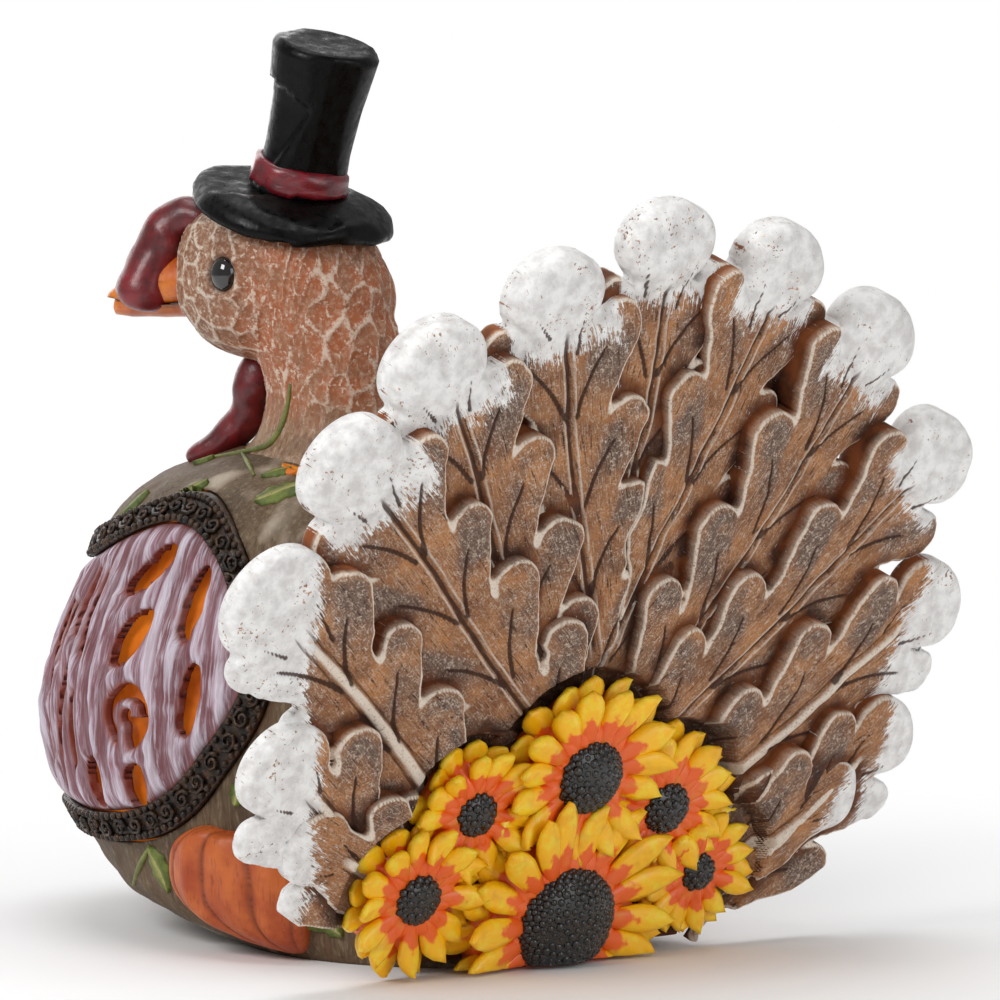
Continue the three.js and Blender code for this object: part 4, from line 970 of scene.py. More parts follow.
def feather(name, form, level, over):
    """One feather; over are the feathers that lie on it."""
    seed, stem = form.seed, form.stem
    u, v, depth, layer, faces = carved_sheet(
        np.arange(-12, form.length + 15, FAN_STEP), np.arange(-27, 27.1, FAN_STEP), form.field, 3)
    x, up = form.fan_place(u, v)
    spots = points_of(x, up, seed * 7.0)
    share = form.tip_share(u, v)
    tip = smooth_step(1.25, 0.9, share)
    rounding = 0.55 + (0.9 if stem else 1.9) * tip
    t = np.minimum(depth, rounding)
    drop = rounding - np.sqrt(np.maximum(0, rounding**2 - (rounding - t) ** 2))
    crown = 0.25 * (1 - np.exp(-depth / 1.6))
    groove, lobe = form.carving(u, v)
    rib, ditch, cleft, lips = form.stem_lines(u, v)
    raised = 1.0 if stem else 0.0
    scratch = ripple(points_of(u * 0.16, v, float(seed)), 1.3, seed + 2)
    uneven = 0.5 * ripple(spots, 9, seed + 3) + 0.22 * ripple(spots, 3, seed + 4) + 0.13 * scratch
    strokes = points_of(u * 0.5 + v * 0.2, v, float(seed))
    dabs = 0.55 * ripple(strokes, 4.5, seed + 11) + 0.3 * ripple(strokes, 1.8, seed + 12)
    uneven = uneven + tip * (0.3 if stem else 0.8) * dabs
    slope = 0.15 * v * (1 - 0.8 * tip) * (1 if form.side else 0)
    bulge = np.sqrt(np.maximum(0, 1 - share**2))
    top = level + slope + crown + uneven + 0.4 * lobe + (0.5 if stem else 1.15) * tip * bulge - drop
    line = raised * (0.9 * rib - 0.6 * ditch) + (1 - raised) * (0.35 * lips - 0.9 * cleft)
    top += line * (1 - tip) - 0.8 * groove * (1 - 0.6 * tip)
    edge_of_flowers = flower_edge(x, up)
    top = np.minimum(top, UNDER_FLOWERS - drop * 0.4 + 2.2 * np.maximum(0, edge_of_flowers - 0.5))
    low = FEATHER_BACK - 0.7 * crown - 1.2 * tip * bulge + drop
    low = low + 0.7 * groove - 0.8 * rib * (1 - tip) + 0.4 * uneven
    overhang = np.maximum(tip, smooth_step(0, 6, np.hypot(x, up - SLAB_UP) - SLAB_R))
    low = low + overhang * np.maximum(0, level - (LEAF_THICK if stem else TIP_THICK) - low)
    top = np.maximum(top, low + 0.8)
    out = top + (low - top) * layer
    on_wall = (layer > 0) & (layer < 1)
    bright = np.exp(-(((depth - 0.3) / 0.3) ** 2)) + 0.8 * raised * rib + 0.55 * (1 - raised) * lips
    # Painted shade where the next feathers lie over this one
    recess_shade = np.zeros(len(u))
    for other in over:
        gap = other.field(*other.own_place(x, up))
        recess_shade = np.maximum(recess_shade, smooth_step(4.2, 0.2, gap + 0.8 * ripple(spots, 2.5, seed + 13)))
    marks = {
        "grain": points_of(u, v, seed * 11.0),
        "edge": np.where(on_wall, 0.25 * (layer < 0.3), np.clip(bright, 0, 1)),
        "vein": np.clip(groove + 0.6 * raised * ditch + 0.65 * (1 - raised) * cleft, 0, 1) * (~on_wall),
        "wall": np.where(on_wall, 0.95, np.where(layer == 0, 0.0, 0.25)),
        "lobe": lobe,
        "recess_shade": recess_shade,
        "white": form.white_share(u, v, spots) * np.where(on_wall, 0.92, 1.0),
        # Painted shade round the sunflowers
        "flower_shade": 0.6 * smooth_step(6, -1, edge_of_flowers + 3.5 * ripple(spots, 6, seed + 8)),
    }
    made = piece("carved_" + name, on_fan(x, up, out), faces, FEATHER_PAINT, marks)
    return dress(made, "feather_paint", name)


centre_form = FeatherForm(CENTRE, 0, 40)
left_forms = [FeatherForm(layout, 1, 70 + i) for i, layout in enumerate(LEFT)]
right_forms = [FeatherForm(layout, -1, 50 + i) for i, layout in enumerate(RIGHT)]
feather("feather_centre", centre_form, FEATHER_LOW, [left_forms[0], right_forms[0]])
for word, forms in (("left", left_forms), ("right", right_forms)):
    for i, form in enumerate(forms):
        feather("feather_%s_%d" % (word, i + 1), form, FEATHER_LOW + i + 1, forms[i + 1:i + 3])


# Repeated shapes set on points
def repeat_tree():
    """The node tree that sets a shape on points, and the identifiers of its inputs."""
    tree = bpy.data.node_groups.new("repeat_on_points", "GeometryNodeTree")
    made = {}
    kinds = {"Points": "Geometry", "Shape": "Object", "Size": "Float", "Spread": "Float",
             "Seed": "Int", "Finish": "Material"}
    for label, kind in kinds.items():
        socket = tree.interface.new_socket(label, in_out="INPUT", socket_type="NodeSocket" + kind)
        made[label] = socket.identifier
    tree.interface.new_socket("Result", in_out="OUTPUT", socket_type="NodeSocketGeometry")
    new, link = tree.nodes.new, tree.links.new
    given, result = new("NodeGroupInput"), new("NodeGroupOutput")
    shape = new("GeometryNodeObjectInfo")
    link(given.outputs["Shape"], shape.inputs["Object"])
    turn, size = new("GeometryNodeInputNamedAttribute"), new("GeometryNodeInputNamedAttribute")
    for node, label in ((turn, "turn"), (size, "size")):
        node.data_type = "FLOAT_VECTOR"
        node.inputs["Name"].default_value = label
    euler = new("FunctionNodeEulerToRotation")
    link(turn.outputs["Attribute"], euler.inputs[0])
    least, most = new("ShaderNodeMath"), new("ShaderNodeMath")
    least.operation, most.operation = "SUBTRACT", "ADD"
    chance = new("FunctionNodeRandomValue")
    for node, socket in ((least, "Min"), (most, "Max")):
        link(given.outputs["Size"], node.inputs[0])
        link(given.outputs["Spread"], node.inputs[1])
        link(node.outputs[0], [s for s in chance.inputs if s.name == socket and s.type == "VALUE"][0])
    link(given.outputs["Seed"], chance.inputs["Seed"])
    scaled = new("ShaderNodeVectorMath")
    scaled.operation = "SCALE"
    link(size.outputs["Attribute"], scaled.inputs[0])
    link([s for s in chance.outputs if s.type == "VALUE"][0], scaled.inputs["Scale"])
    copies, real, finish = (new("GeometryNodeInstanceOnPoints"), new("GeometryNodeRealizeInstances"),
                            new("GeometryNodeSetMaterial"))
    link(given.outputs["Points"], copies.inputs["Points"])
    link(shape.outputs["Geometry"], copies.inputs["Instance"])
    link(euler.outputs[0], copies.inputs["Rotation"])
    link(scaled.outputs[0], copies.inputs["Scale"])
    link(copies.outputs[0], real.inputs[0])
    link(real.outputs[0], finish.inputs["Geometry"])
    link(given.outputs["Finish"], finish.inputs["Material"])
    link(finish.outputs[0], result.inputs[0])
    return tree, made


REPEAT_TREE, REPEAT_INPUTS = repeat_tree()


def repeated(shape, places, frames, sizes, paint, seed=1, spread=0.0):
    """Copies of a shape on points in millimetres, turned by frames and stretched by sizes, as one mesh."""
    mesh = bpy.data.meshes.new("points")
    mesh.from_pydata(((np.asarray(places) + SHIFT) * MM).tolist(), [], [])
    turns = np.array([Matrix(np.asarray(f).T.tolist()).to_euler() for f in frames], dtype=np.float32)
    for label, values in (("turn", turns), ("size", np.asarray(sizes, dtype=np.float32) * MM)):
        mesh.attributes.new(label, "FLOAT_VECTOR", "POINT").data.foreach_set("vector", values.ravel())
    points = placed("points", mesh)
    nodes = points.modifiers.new("copies", "NODES")
    nodes.node_group = REPEAT_TREE
    values = {"Shape": shape, "Size": 1.0, "Spread": spread, "Seed": seed, "Finish": paint}
    for label, value in values.items():
        nodes[REPEAT_INPUTS[label]] = value
    done = bpy.data.meshes.new_from_object(points.evaluated_get(bpy.context.evaluated_depsgraph_get()))
    bpy.data.objects.remove(points)
    bpy.data.meshes.remove(mesh)
    return done


def shape_object(name, verts, faces, marks=None):
    """A shape to repeat, kept out of the scene."""
    return bpy.data.objects.new(name, smooth_mesh(name, verts, faces, marks))


def dome_shape(name, sides, rings, top):
    """A small closed dome from rings of radius and height, with a point on top."""
    turn = full_turn(sides)
    verts = [np.stack([r * np.cos(turn), r * np.sin(turn), np.full(sides, h)], 1) for r, h in rings]
    point = len(rings) * sides
    last = point - sides
    faces = grid_faces(len(rings), sides, ring=True)
    faces += [[last + i, last + (i + 1) % sides, point] for i in range(sides)]
    faces.append(list(range(sides))[::-1])
    return shape_object(name, np.vstack(verts + [[[0, 0, top]]]), faces)


def petal_shape():
    """One petal of length 1 along X, with a crease along its middle and a pointed end."""
    rows, columns = 9, 5
    a = np.linspace(0, 1, rows)[:, None] * np.ones((1, columns))
    b = np.ones((rows, 1)) * np.linspace(-1, 1, columns)[None, :]
    half = 0.5 * np.interp(a, *zip(*PETAL_OUTLINE))
    crease = 0.3 * (b == 0) * smooth_step(0.1, 0.3, a) * smooth_step(1.0, 0.8, a)
    crest = (0.8 * (1 - b**2) - crease) * (0.4 + 0.6 * np.sin(np.pi * np.clip(a, 0, 0.92)))
    curl = 0.9 * a**4
    top = np.stack([a, half * b, crest + curl], -1).reshape(-1, 3)
    bottom = np.stack([a, half * b, curl - 0.5], -1).reshape(-1, 3)
    marks = {"along": np.tile(a.ravel(), 2), "rim": np.tile(np.abs(b).ravel(), 2)}
    return shape_object("petal", np.vstack([top, bottom]), two_sided(rows, columns), marks)


def scroll_shape():
    """A curled tendril of unit size lying flat, thickest at its stem."""
    rows, sides = 11, 5
    t = np.linspace(0, 1, rows)
    angle = t * 2.9 * math.pi
    r = 0.92 * (1 - t) ** 0.8 + 0.1
    path = np.stack([r * np.cos(angle), r * np.sin(angle), 0.1 + 0.1 * t], 1)
    return shape_object("scroll", tube_rings(path, 0.24 - 0.08 * t, sides), capped(rows, sides))


PETAL = petal_shape()
SEED = dome_shape("seed", 7, ((1, -0.5), (0.95, 0.3), (0.5, 0.85)), 1.0)
BEAD = dome_shape("bead", 6, ((0.9, -0.6), (1, 0.1), (0.6, 0.75)), 0.95)
SCROLL = scroll_shape()


def joined(name, meshes, paint, cut=None):
    """Several plain meshes as one piece; cut is a height in metres below which it is trimmed off."""
    shell = bmesh.new()
    for mesh in meshes:
        shell.from_mesh(mesh)
    if cut is not None:
        parts = shell.verts[:] + shell.edges[:] + shell.faces[:]
        bmesh.ops.bisect_plane(shell, geom=parts, plane_co=(0, 0, cut), plane_no=(0, 0, 1), clear_inner=True)
        rim = [e for e in shell.edges if e.is_boundary]
        rim = [e for e in rim if all(abs(v.co.z - cut) < 1e-6 for v in e.verts)]
        bmesh.ops.holes_fill(shell, edges=rim)
    mesh = bpy.data.meshes.new(name)
    shell.to_mesh(mesh)
    shell.free()
    mesh.materials.clear()
    mesh.materials.append(paint)
    mesh.polygons.foreach_set("material_index", [0] * len(mesh.polygons))
    mesh.polygons.foreach_set("use_smooth", [True] * len(mesh.polygons))
    return placed(name, mesh)


def round_flower(middle, radius, turn, level):
    """Points round the middle of a flower on the fan."""
    return on_fan(middle[0] + radius * np.sin(turn), middle[1] + radius * np.cos(turn), level)


def on_flower(turn):
    """The direction on the fan that points away from a flower's middle."""
    return math.sin(turn) * np.array([1.0, 0, 0]) + math.cos(turn) * FAN_UP


def flower_petals(name, middle, r, top, petals, random, seed):
    """Rings of petals on a fluted bed."""
    deep = top - FLOWER_BACK
    places, frames, sizes = [], [], []
    for inner, reach, level, tilt, share, start in PETAL_RINGS:
        number = round(petals * share)
        for k in range(number):
            t = (k + start + random.uniform(-0.16, 0.16)) / number * 2 * math.pi
            long = (reach * random.uniform(0.92, 1.07) - inner) * r
            lean = math.radians(tilt + random.uniform(-7, 9))
            places.append(round_flower(middle, inner * r, t, FLOWER_BACK + deep * level - PETAL_SUNK))
            flat = on_flower(t)
            twist = math.radians(random.uniform(-16, 16))
            ahead = flat * math.cos(lean) + FAN_OUT * math.sin(lean)
            side = np.cross(FAN_OUT, flat)
            side = side * math.cos(twist) + np.cross(ahead, side) * math.sin(twist)
            frames.append((ahead, side, np.cross(ahead, side)))
            wide = 2 * math.pi * (inner + 2 * reach) / 3 * r / number * random.uniform(0.84, 1.02)
            sizes.append((long, wide, PETAL_CREST))
    rosette = repeated(PETAL, places, frames, sizes, PETAL_PAINT, seed, 0.04)
    rings, sides = 16, 72
    share = np.linspace(0, 1, rings)[:, None]
    turn = full_turn(sides)[None, :]
    radius = r * 0.8 * share * (1 + 0.03 * np.cos(turn * petals))
    level = FLOWER_BACK + deep * (1.0 - 0.55 * smooth_step(0.55, 1.0, share)) - 0.35
    level = level + 0.45 * np.cos(turn * petals) * smooth_step(0.3, 0.6, share) * (share < 0.99)
    level = np.where(share > 0.97, FLOWER_BACK + 0.1, level)
    verts = round_flower(middle, radius, turn, level).reshape(-1, 3)
    marks = {"along": np.full(len(verts), 0.1), "rim": np.zeros(len(verts))}
    bed = piece("bed", verts, closed_dome(rings, sides), PETAL_PAINT, marks, weld=True)
    made = joined("flower_%s_petals" % name, [rosette, bed.data], PETAL_PAINT, FLOOR_CLEAR * MM)
    bpy.data.objects.remove(bed)
    dress(made, "petal_paint", "sunflower_%s_petals" % name)


def flower_disc(name, middle, disc, top, random, seed):
    """A dome of seeds laid along a spiral."""

    def level(share):
        return top + disc * DISC_RISE * np.cos(share * np.pi / 2) ** 1.2 - DISC_SUNK

    rings, sides = 12, 48
    share = np.linspace(0, 1, rings)[:, None]
    radius = disc * np.sin(share * np.pi / 2)
    verts = round_flower(middle, radius, full_turn(sides)[None, :], level(share)).reshape(-1, 3)
    dome = piece("dome", verts, closed_dome(rings, sides), SEED_GLOSS, weld=True)
    number = int(1.7 * disc**2)
    k = np.arange(number) + 0.5
    share = np.sqrt(k / number)
    spin = k * GOLDEN_TURN
    spots = round_flower(middle, disc * np.sin(share * np.pi / 2 * 0.98), spin, level(share))
    frames = []
    for q, t in zip(share, spin):
        out = unit(FAN_OUT + 0.75 * q**2 * on_flower(t))
        side = unit(np.cross(out, (0.3, 0.1, 0.9)))
        frames.append((side, np.cross(out, side), out))
    sizes = random.uniform(0.7, 1.15, (number, 1)) * np.array([SEED_SIZE])
    seeds = repeated(SEED, spots, frames, sizes, SEED_GLOSS, seed, 0.12)
    made = joined("flower_%s_disc" % name, [dome.data, seeds], SEED_GLOSS, FLOOR_CLEAR * MM)
    bpy.data.objects.remove(dome)
    dress(made, "seed_gloss", "sunflower_%s_disc" % name)


for seed, (name, x, up, r, disc, raised, petals) in enumerate(SUNFLOWERS):
    draws = np.random.default_rng(200 + seed)
    level = FLOWER_BACK + raised + PETAL_THICK
    flower_petals(name, (x, up), r, level, petals, draws, 200 + seed)
    flower_disc(name, (x, up), disc, level, draws, 203 + seed)


# Carved body, breast panel and its band
panel_line = closed_curve(PANEL_EDGE + [(-s, z) for s, z in PANEL_EDGE[8:0:-1]], 420)


def panel_distance(s, z):
    """Distance to the edge of the breast panel, negative inside it."""
    return outline_distance(s, z, panel_line)


def rounded_hole(angle, half_x, half_y, corner):
    """Distance from the middle of a rounded rectangle to its edge."""
    run = np.linspace(0, 80, 801)
    reach = np.zeros(np.shape(angle))
    for i, a in np.ndenumerate(angle):
        qx = np.abs(run * math.sin(a)) - half_x + corner
        qy = np.abs(run * math.cos(a)) - half_y + corner
        d = np.hypot(np.maximum(qx, 0), np.maximum(qy, 0)) + np.minimum(np.maximum(qx, qy), 0) - corner
        reach[i] = run[np.argmax(d > 0)]
    return reach


def body_skin():
    """The hollow body: carved skin, the breast's opening and the holes in the underside."""
    around = np.linspace(-math.pi, math.pi, 360, endpoint=False) * WRAP_RADIUS
    heights = np.linspace(0, BODY[-1, 0], 117)
    s, z, depth, layer, faces = carved_sheet(
        around, heights, lambda a, b: -panel_distance(a, b), 2, ring=True)
    skin = on_body(s, z, 0)
    stretch = skin * np.array([1, 1, 0.3])
    cuts = 0.55 * ripple(stretch, 6, 1) + 0.3 * ripple(stretch, 2.4, 2) + 0.5 * ripple(skin, 15, 3)
    fade = smooth_step(0, 4, z) * smooth_step(0, 2.5, depth)
    outer = on_body(s, z, cuts * fade - 0.25)
    inner = on_body(s, z, -BODY_WALL)
    angle = np.linspace(-math.pi, math.pi, 361)
    for low, high, size in ((-1, LEDGE_LOW, OPENING), (LEDGE_LOW, LEDGE_HIGH, LEDGE)):
        reach = np.interp(s / WRAP_RADIUS, angle, rounded_hole(angle, *size))
        hole = np.stack([reach * np.sin(s / WRAP_RADIUS), BASE_Y - reach * np.cos(s / WRAP_RADIUS), z], 1)
        here = (z >= low) & (z < high)
        inner[here] = hole[here]
    verts = outer + (inner - outer) * layer[:, None]
    made = piece("carved_body", verts, faces, WOOD_PAINT, {"cut": cuts})
    return dress(made, "wood_paint", "body_shell")


def slot_lens(s, z, at, low, high, lean, wide):
    """Distance to an upright slot with pointed ends."""
    half = (high - low) / 2
    rise = (z - (low + high) / 2) / half
    reach = wide / 2 * np.sqrt(np.clip(1 - np.minimum(1, np.abs(rise)) ** 2.4, 0, 1))
    beyond = np.maximum(0, np.abs(rise) - 1) * half
    aside = np.abs(s - at - lean * rise)
    return np.hypot(np.maximum(0, aside - reach), beyond) - np.minimum(0.5, np.maximum(0, reach - aside))


def slot_field(s, z):
    """Openings of the breast: columns of slots, narrow slits between them, wider ones toward both ends."""
    random = np.random.default_rng(17)
    field = np.full(np.shape(s), 1e3)
    spots = points_of(s.ravel() * 0.5, z.ravel())
    wave = (1.2 * ripple(spots, 12, 5) + 0.5 * ripple(spots, 3.5, 6)).reshape(s.shape)
    for k in range(-SLOT_COLUMNS, SLOT_COLUMNS + 1):
        at = k * SLOT_PITCH
        near = panel_line[np.abs(panel_line[:, 0] - at) < 4, 1]
        low = near[near < PANEL_MIDDLE].max() + GRILLE_INSET + SLOT_RIB
        high = near[near > PANEL_MIDDLE].min() - GRILLE_INSET - SLOT_RIB
        split = low + (high - low) * (0.36 if k % 2 else 0.64)
        lean = np.sign(k)
        for z0, z1, tilt in ((low, split - SLOT_RIB / 2, lean), (split + SLOT_RIB / 2, high, -lean)):
            wide = SLOT_WIDE * random.uniform(1.0, 1.4)
            field = np.minimum(field, slot_lens(s + wave, z, at, z0, z1, tilt, wide))
        z0 = low + random.uniform(0, 9)
        while z0 < high - 8:
            z1 = min(z0 + random.uniform(9, 20), high)
            slit = at + SLOT_PITCH / 2 + random.uniform(-1, 1)
            lean = random.uniform(-1.2, 1.2)
            field = np.minimum(field, slot_lens(s + wave, z, slit, z0, z1, lean, SLIT_WIDE))
            z0 = z1 + random.uniform(3, 8)
    for way in (1, -1):
        t = way * s + wave
        for at, low, high, lean, wide in END_SLOTS:
            field = np.minimum(field, slot_lens(t, z, at, low - 1, high + 1, lean, wide * 1.2))
        at, high, r = CURL
        ring = np.hypot(t - at, (z - high) * 0.92) - r
        hook = np.abs(np.hypot(t - at, z - high) - r * 0.42) - 1.1
        hook = np.where((t > at) & (z < high), 9.0, hook)
        stem, _, _ = capsule(t, z, (at - 1.5, high - 2.3), (at - 1.0, high - r - 2), 1.2, 1.6)
        field = np.minimum(field, np.maximum(ring, -np.minimum(hook, stem)))
    return field


def breast_grille():
    """Ribs of the breast, with brushed grooves and openings."""

    def field(s, z):
        return np.maximum(panel_distance(s, z) + GRILLE_INSET, -slot_field(s, z))

    s, z, depth, layer, faces = carved_sheet(*GRILLE_GRID, field, 2)
    spots = points_of(s, z * 0.16)
    strokes = 0.34 * ripple(spots, 1.5, 6) + 0.45 * ripple(spots, 3.6, 7)
    strokes = strokes + 0.2 * ripple(points_of(s, z), 2.2, 8)
    sway = 2.4 * ripple(points_of(s * 0.5, z * 0.5), 12, 9)
    strokes = strokes + RIB_RISE * np.cos(2 * math.pi * (s + sway) / RIB_PITCH)
    top = 1.6 * (1 - np.exp(-depth / 1.5)) + strokes * smooth_step(0, 1.6, depth) - 0.6
    verts = on_body(s, z, top + (GRILLE_LOW - top) * layer)
    marks = {"grain": points_of(s, z), "stroke": strokes,
             "wall": np.where(layer > 0, 1.0, smooth_step(1.0, 0.0, depth))}
    made = piece("breast_ribs", verts, faces, LILAC_PAINT, marks)
    return dress(made, "lilac_paint", "breast_grille")


def skin_frame(s, z):
    """Directions along the body, up its surface and out of it."""
    step = 0.5
    along = on_body(s + step, z, 0) - on_body(s - step, z, 0)
    upward = on_body(s, z + step, 0) - on_body(s, z - step, 0)
    along = unit(along)
    out = unit(np.cross(along, upward))
    return along, np.cross(out, along), out


def breast_band():
    """The ornamental band round the breast: a plate, scrolls and two rows of beads."""

    def field(s, z):
        d = panel_distance(s, z)
        return np.maximum(d + BAND_GAP, -(d + BAND_WIDTH + BAND_GAP))

    s, z, depth, layer, faces = carved_sheet(*BAND_GRID, field, 1)
    top = 0.7 + 0.5 * smooth_step(1.3, 0.2, depth) + 0.25 * ripple(points_of(s, z), 1.6, 11)
    plate = piece("plate", on_body(s, z, top + (BAND_LOW - top) * layer), faces, BRONZE_PAINT)
    line = closed_curve(panel_line.tolist()[::3], 96)
    inward = np.roll(line, -1, axis=0) - np.roll(line, 1, axis=0)
    inward = np.stack([inward[:, 1], -inward[:, 0]], 1) / np.linalg.norm(inward, axis=1)[:, None]
    inward *= np.where(panel_distance(*(line + inward).T) < 0, 1, -1)[:, None]
    meshes = [plate.data]
    middle = line + inward * (BAND_GAP + BAND_WIDTH / 2)
    places, frames, sizes = [], [], []
    for k, (ms, mz) in enumerate(middle):
        along, upward, out = skin_frame(ms, mz)
        tangent = np.cross(out, inward[k, 0] * along + inward[k, 1] * upward)
        cross = np.cross(out, tangent)
        flip = 1 if k % 2 else -1
        places.append(on_body(ms, mz, 1.1))
        frames.append((tangent * flip, cross * flip, out))
        sizes.append(SCROLL_SIZE)
    meshes.append(repeated(SCROLL, places, frames, sizes, BRONZE_PAINT, 5, 0.06))
    outer, inner = BAND_GAP + 0.75, BAND_GAP + BAND_WIDTH - 0.75
    for offset, number, size in ((outer, 250, 0.95), (inner, 236, 0.9)):
        ring = closed_curve((line + inward * offset).tolist(), number)
        frames = [skin_frame(bs, bz) for bs, bz in ring]
        places = [on_body(bs, bz, 1.15) for bs, bz in ring]
        meshes.append(repeated(BEAD, places, frames, [[size] * 3] * number, BRONZE_PAINT, 6, 0.1))
    made = joined("breast_border", meshes, BRONZE_PAINT)
    bpy.data.objects.remove(plate)
    return dress(made, "bronze_paint", "breast_band")


# Head and neck
def superball(direction):
    """The head's ball, a little squarer than round."""
    powers = np.array([0.86, 0.92, 0.86])
    p = np.sign(direction) * np.abs(direction) ** powers * np.array(HEAD_SIZE)
    return in_head(p[:, 0], p[:, 1], p[:, 2])


def ball(rings, sides):
    """Unit ball as points and faces, closed at both ends."""
    lat = np.linspace(-math.pi / 2, math.pi / 2, rings)[1:-1]
    lon = full_turn(sides)
    wide, level = np.cos(lat)[:, None], np.sin(lat)[:, None] * np.ones(sides)
    body = np.stack([wide * np.cos(lon), wide * np.sin(lon), level], -1).reshape(-1, 3)
    count = len(body)
    faces = grid_faces(rings - 2, sides, ring=True)
    faces += [[count, (j + 1) % sides, j] for j in range(sides)]
    faces += [[count + 1, count - sides + j, count - sides + (j + 1) % sides] for j in range(sides)]
    return np.vstack([body, [[0, 0, -1]], [[0, 0, 1]]]), faces


def crackle(points, gap, seed):
    """Crazed cells over points: distance to the nearest crack and a random value for each cell."""
    random = np.random.default_rng(seed)
    seeds = []
    for i in random.permutation(len(points))[:6000]:
        p = points[i]
        if not seeds or np.min(np.linalg.norm(np.array(seeds) - p, axis=1)) > gap:
            seeds.append(p)
    seeds = np.array(seeds)
    value = random.uniform(0, 1, len(seeds))
    near, cell = np.empty(len(points)), np.empty(len(points))
    for i in range(0, len(points), 4000):
        d = np.linalg.norm(points[i:i + 4000, None, :] - seeds[None], axis=2)
        order = np.argpartition(d, 2, axis=1)[:, :2]
        two = np.take_along_axis(d, order, axis=1)
        near[i:i + 4000] = np.abs(two[:, 0] - two[:, 1])
        cell[i:i + 4000] = value[order[np.arange(len(d)), np.argmin(two, axis=1)]]
    return near, cell


EYE_PLACES = {word: in_head(EYE["ahead"], way * EYE["aside"], EYE["up"])
              for word, way in (("left", 1), ("right", -1))}


def eye_distance(v):
    """Distance of points from each eye, a little less upward, as the eyes are taller than wide."""
    return [np.linalg.norm((v - centre) * np.array([1, 1, 0.85]), axis=1) for centre in EYE_PLACES.values()]


def head_and_neck():
    """Head and neck in one skin, crazed above and cut like wood below."""
    rows, sides = 40, 64
    direction, faces = ball(rows, sides)
    parts = [(superball(direction), faces)]
    z = np.linspace(NECK[0, 0], NECK_TOP, rows)[:, None]
    r, x, y = np.moveaxis(station_curve(NECK)(z), -1, 0)
    turn = full_turn(sides)
    rings = np.stack([x + r * np.cos(turn), y + r * np.sin(turn), z * np.ones(sides)], -1).reshape(-1, 3)
    parts.append((rings, capped(rows, sides)))
    v, f = fused(parts, 0.75, 6)
    local = v - HEAD
    nape = smooth_step(-9, 8, local @ UP) * smooth_step(-2, -17, local @ AHEAD)
    v = v + NAPE_SLOPE * nape[:, None] * AHEAD
    n = outward(v, f)
    local = v - HEAD
    above = (np.stack([local @ AHEAD, local @ ASIDE, local @ UP], 1) - np.array(HAT_SEAT)) @ hat_turn
    for far in eye_distance(v):
        lid = np.exp(-(((far - 4.6) / 1.1) ** 2)) * 0.75 - smooth_step(4.2, 2.0, far) * 0.9
        v = v + n * lid[:, None]
    bent = v + np.stack([ripple(v, 5, 21), ripple(v, 5, 22), ripple(v, 5, 23)], 1) * 1.9
    behind = smooth_step(4, -12, local @ AHEAD)
    flat = np.stack([bent[:, 0], bent[:, 1], bent[:, 2] * (0.95 - 0.4 * behind)], 1)
    near, cell = crackle(flat, 4.4, 31)
    fine, _ = crackle(bent[:, [1, 2, 0]], 2.9, 33)
    line = smooth_step(1.3, 0.3, near + 0.4 * ripple(v, 2.2, 26))
    strip = v * np.array([1, 1, 0.25])
    lower = smooth_step(121, 106, v[:, 2])
    cuts = 0.45 * ripple(strip, 5, 1) + 0.25 * ripple(strip, 2.2, 2)
    lift = (1 - lower) * (0.32 * line - 0.22 * smooth_step(0.6, 2.6, near) * cell)
    lift = lift + lower * cuts + 0.3 * ripple(v, 8, 29)
    v = v + n * lift[:, None]
    from_crown = np.hypot(above[:, 0], above[:, 1])
    underside = brim_wave(from_crown, np.arctan2(above[:, 1], above[:, 0]))
    over = np.maximum(0, above[:, 2] + 0.6 - underside) * smooth_step(BRIM_R + 9, BRIM_R - 1, from_crown)
    v = v - over[:, None] * (hat_turn @ np.array([0, 0, 1.0]) @ np.array([AHEAD, ASIDE, UP]))
    face = smooth_step(-6, 16, local @ AHEAD + 0.4 * local @ UP)
    socket = smooth_step(4.3, 3.3, np.min(eye_distance(v), axis=0))
    marks = {"crack": near, "fine": fine, "cell": cell, "lower": lower, "face": face, "socket": socket}
    made = piece("head_and_neck", v, f, HEAD_PAINT, marks)
    return dress(made, "wood_paint", "neck_head")


def eyes():
    """Two glossy eyes."""
    direction, faces = ball(20, 28)
    for word, way in (("left", 1), ("right", -1)):
        turn = np.array(Matrix.Rotation(-EYE["turn"] * way, 3, "Z"))
        p = direction * np.array([EYE["r"], EYE["deep"], EYE["r"] * 1.15]) @ turn.T
        verts = in_head(p[:, 0], p[:, 1], p[:, 2]) - HEAD + EYE_PLACES[word]
        made = piece("glossy_eye_" + word, verts, faces, EYE_GLOSS)
        dress(made, "eye_gloss", "eye_" + word)


def beak():
    """Both halves of the beak, parted along the mouth."""
    rows, sides = 26, 32
    t = np.linspace(0, 1, rows)[:, None]
    size = np.interp(t, (0, 0.35, 0.75, 0.96, 1), (1, 0.88, 0.58, 0.3, 0.08))
    turn = full_turn(sides)
    ahead = (HEAD_SIZE[0] - BEAK["sunk"] + BEAK["long"] * t) * np.ones(sides)
    aside = BEAK["half_wide"] * size * np.cos(turn)
    up = -2 - 5 * t**1.6 + BEAK["half_tall"] * size * np.sin(turn)
    mouth = -6.4 - 0.8 * np.sin(t * math.pi) + 0.5 * t
    upper, lower = np.maximum(up, mouth + 0.12), np.minimum(up - 1.1, mouth - 0.12)
    for word, level, spread, shorter in (("upper", upper, 1.0, 0.0), ("lower", lower, 0.9, 1.5)):
        verts = in_head(ahead - shorter * t, aside * spread, level).reshape(-1, 3)
        verts = verts + 0.25 * ripple(verts, 3, 41)[:, None] * AHEAD
        lips = np.exp(-(((level - mouth) / 0.45) ** 2)).ravel()
        made = piece("beak_" + word + "_half", verts, capped(rows, sides), BEAK_PAINT, {"lips": lips})
        dress(made, "beak_paint", "beak_" + word)


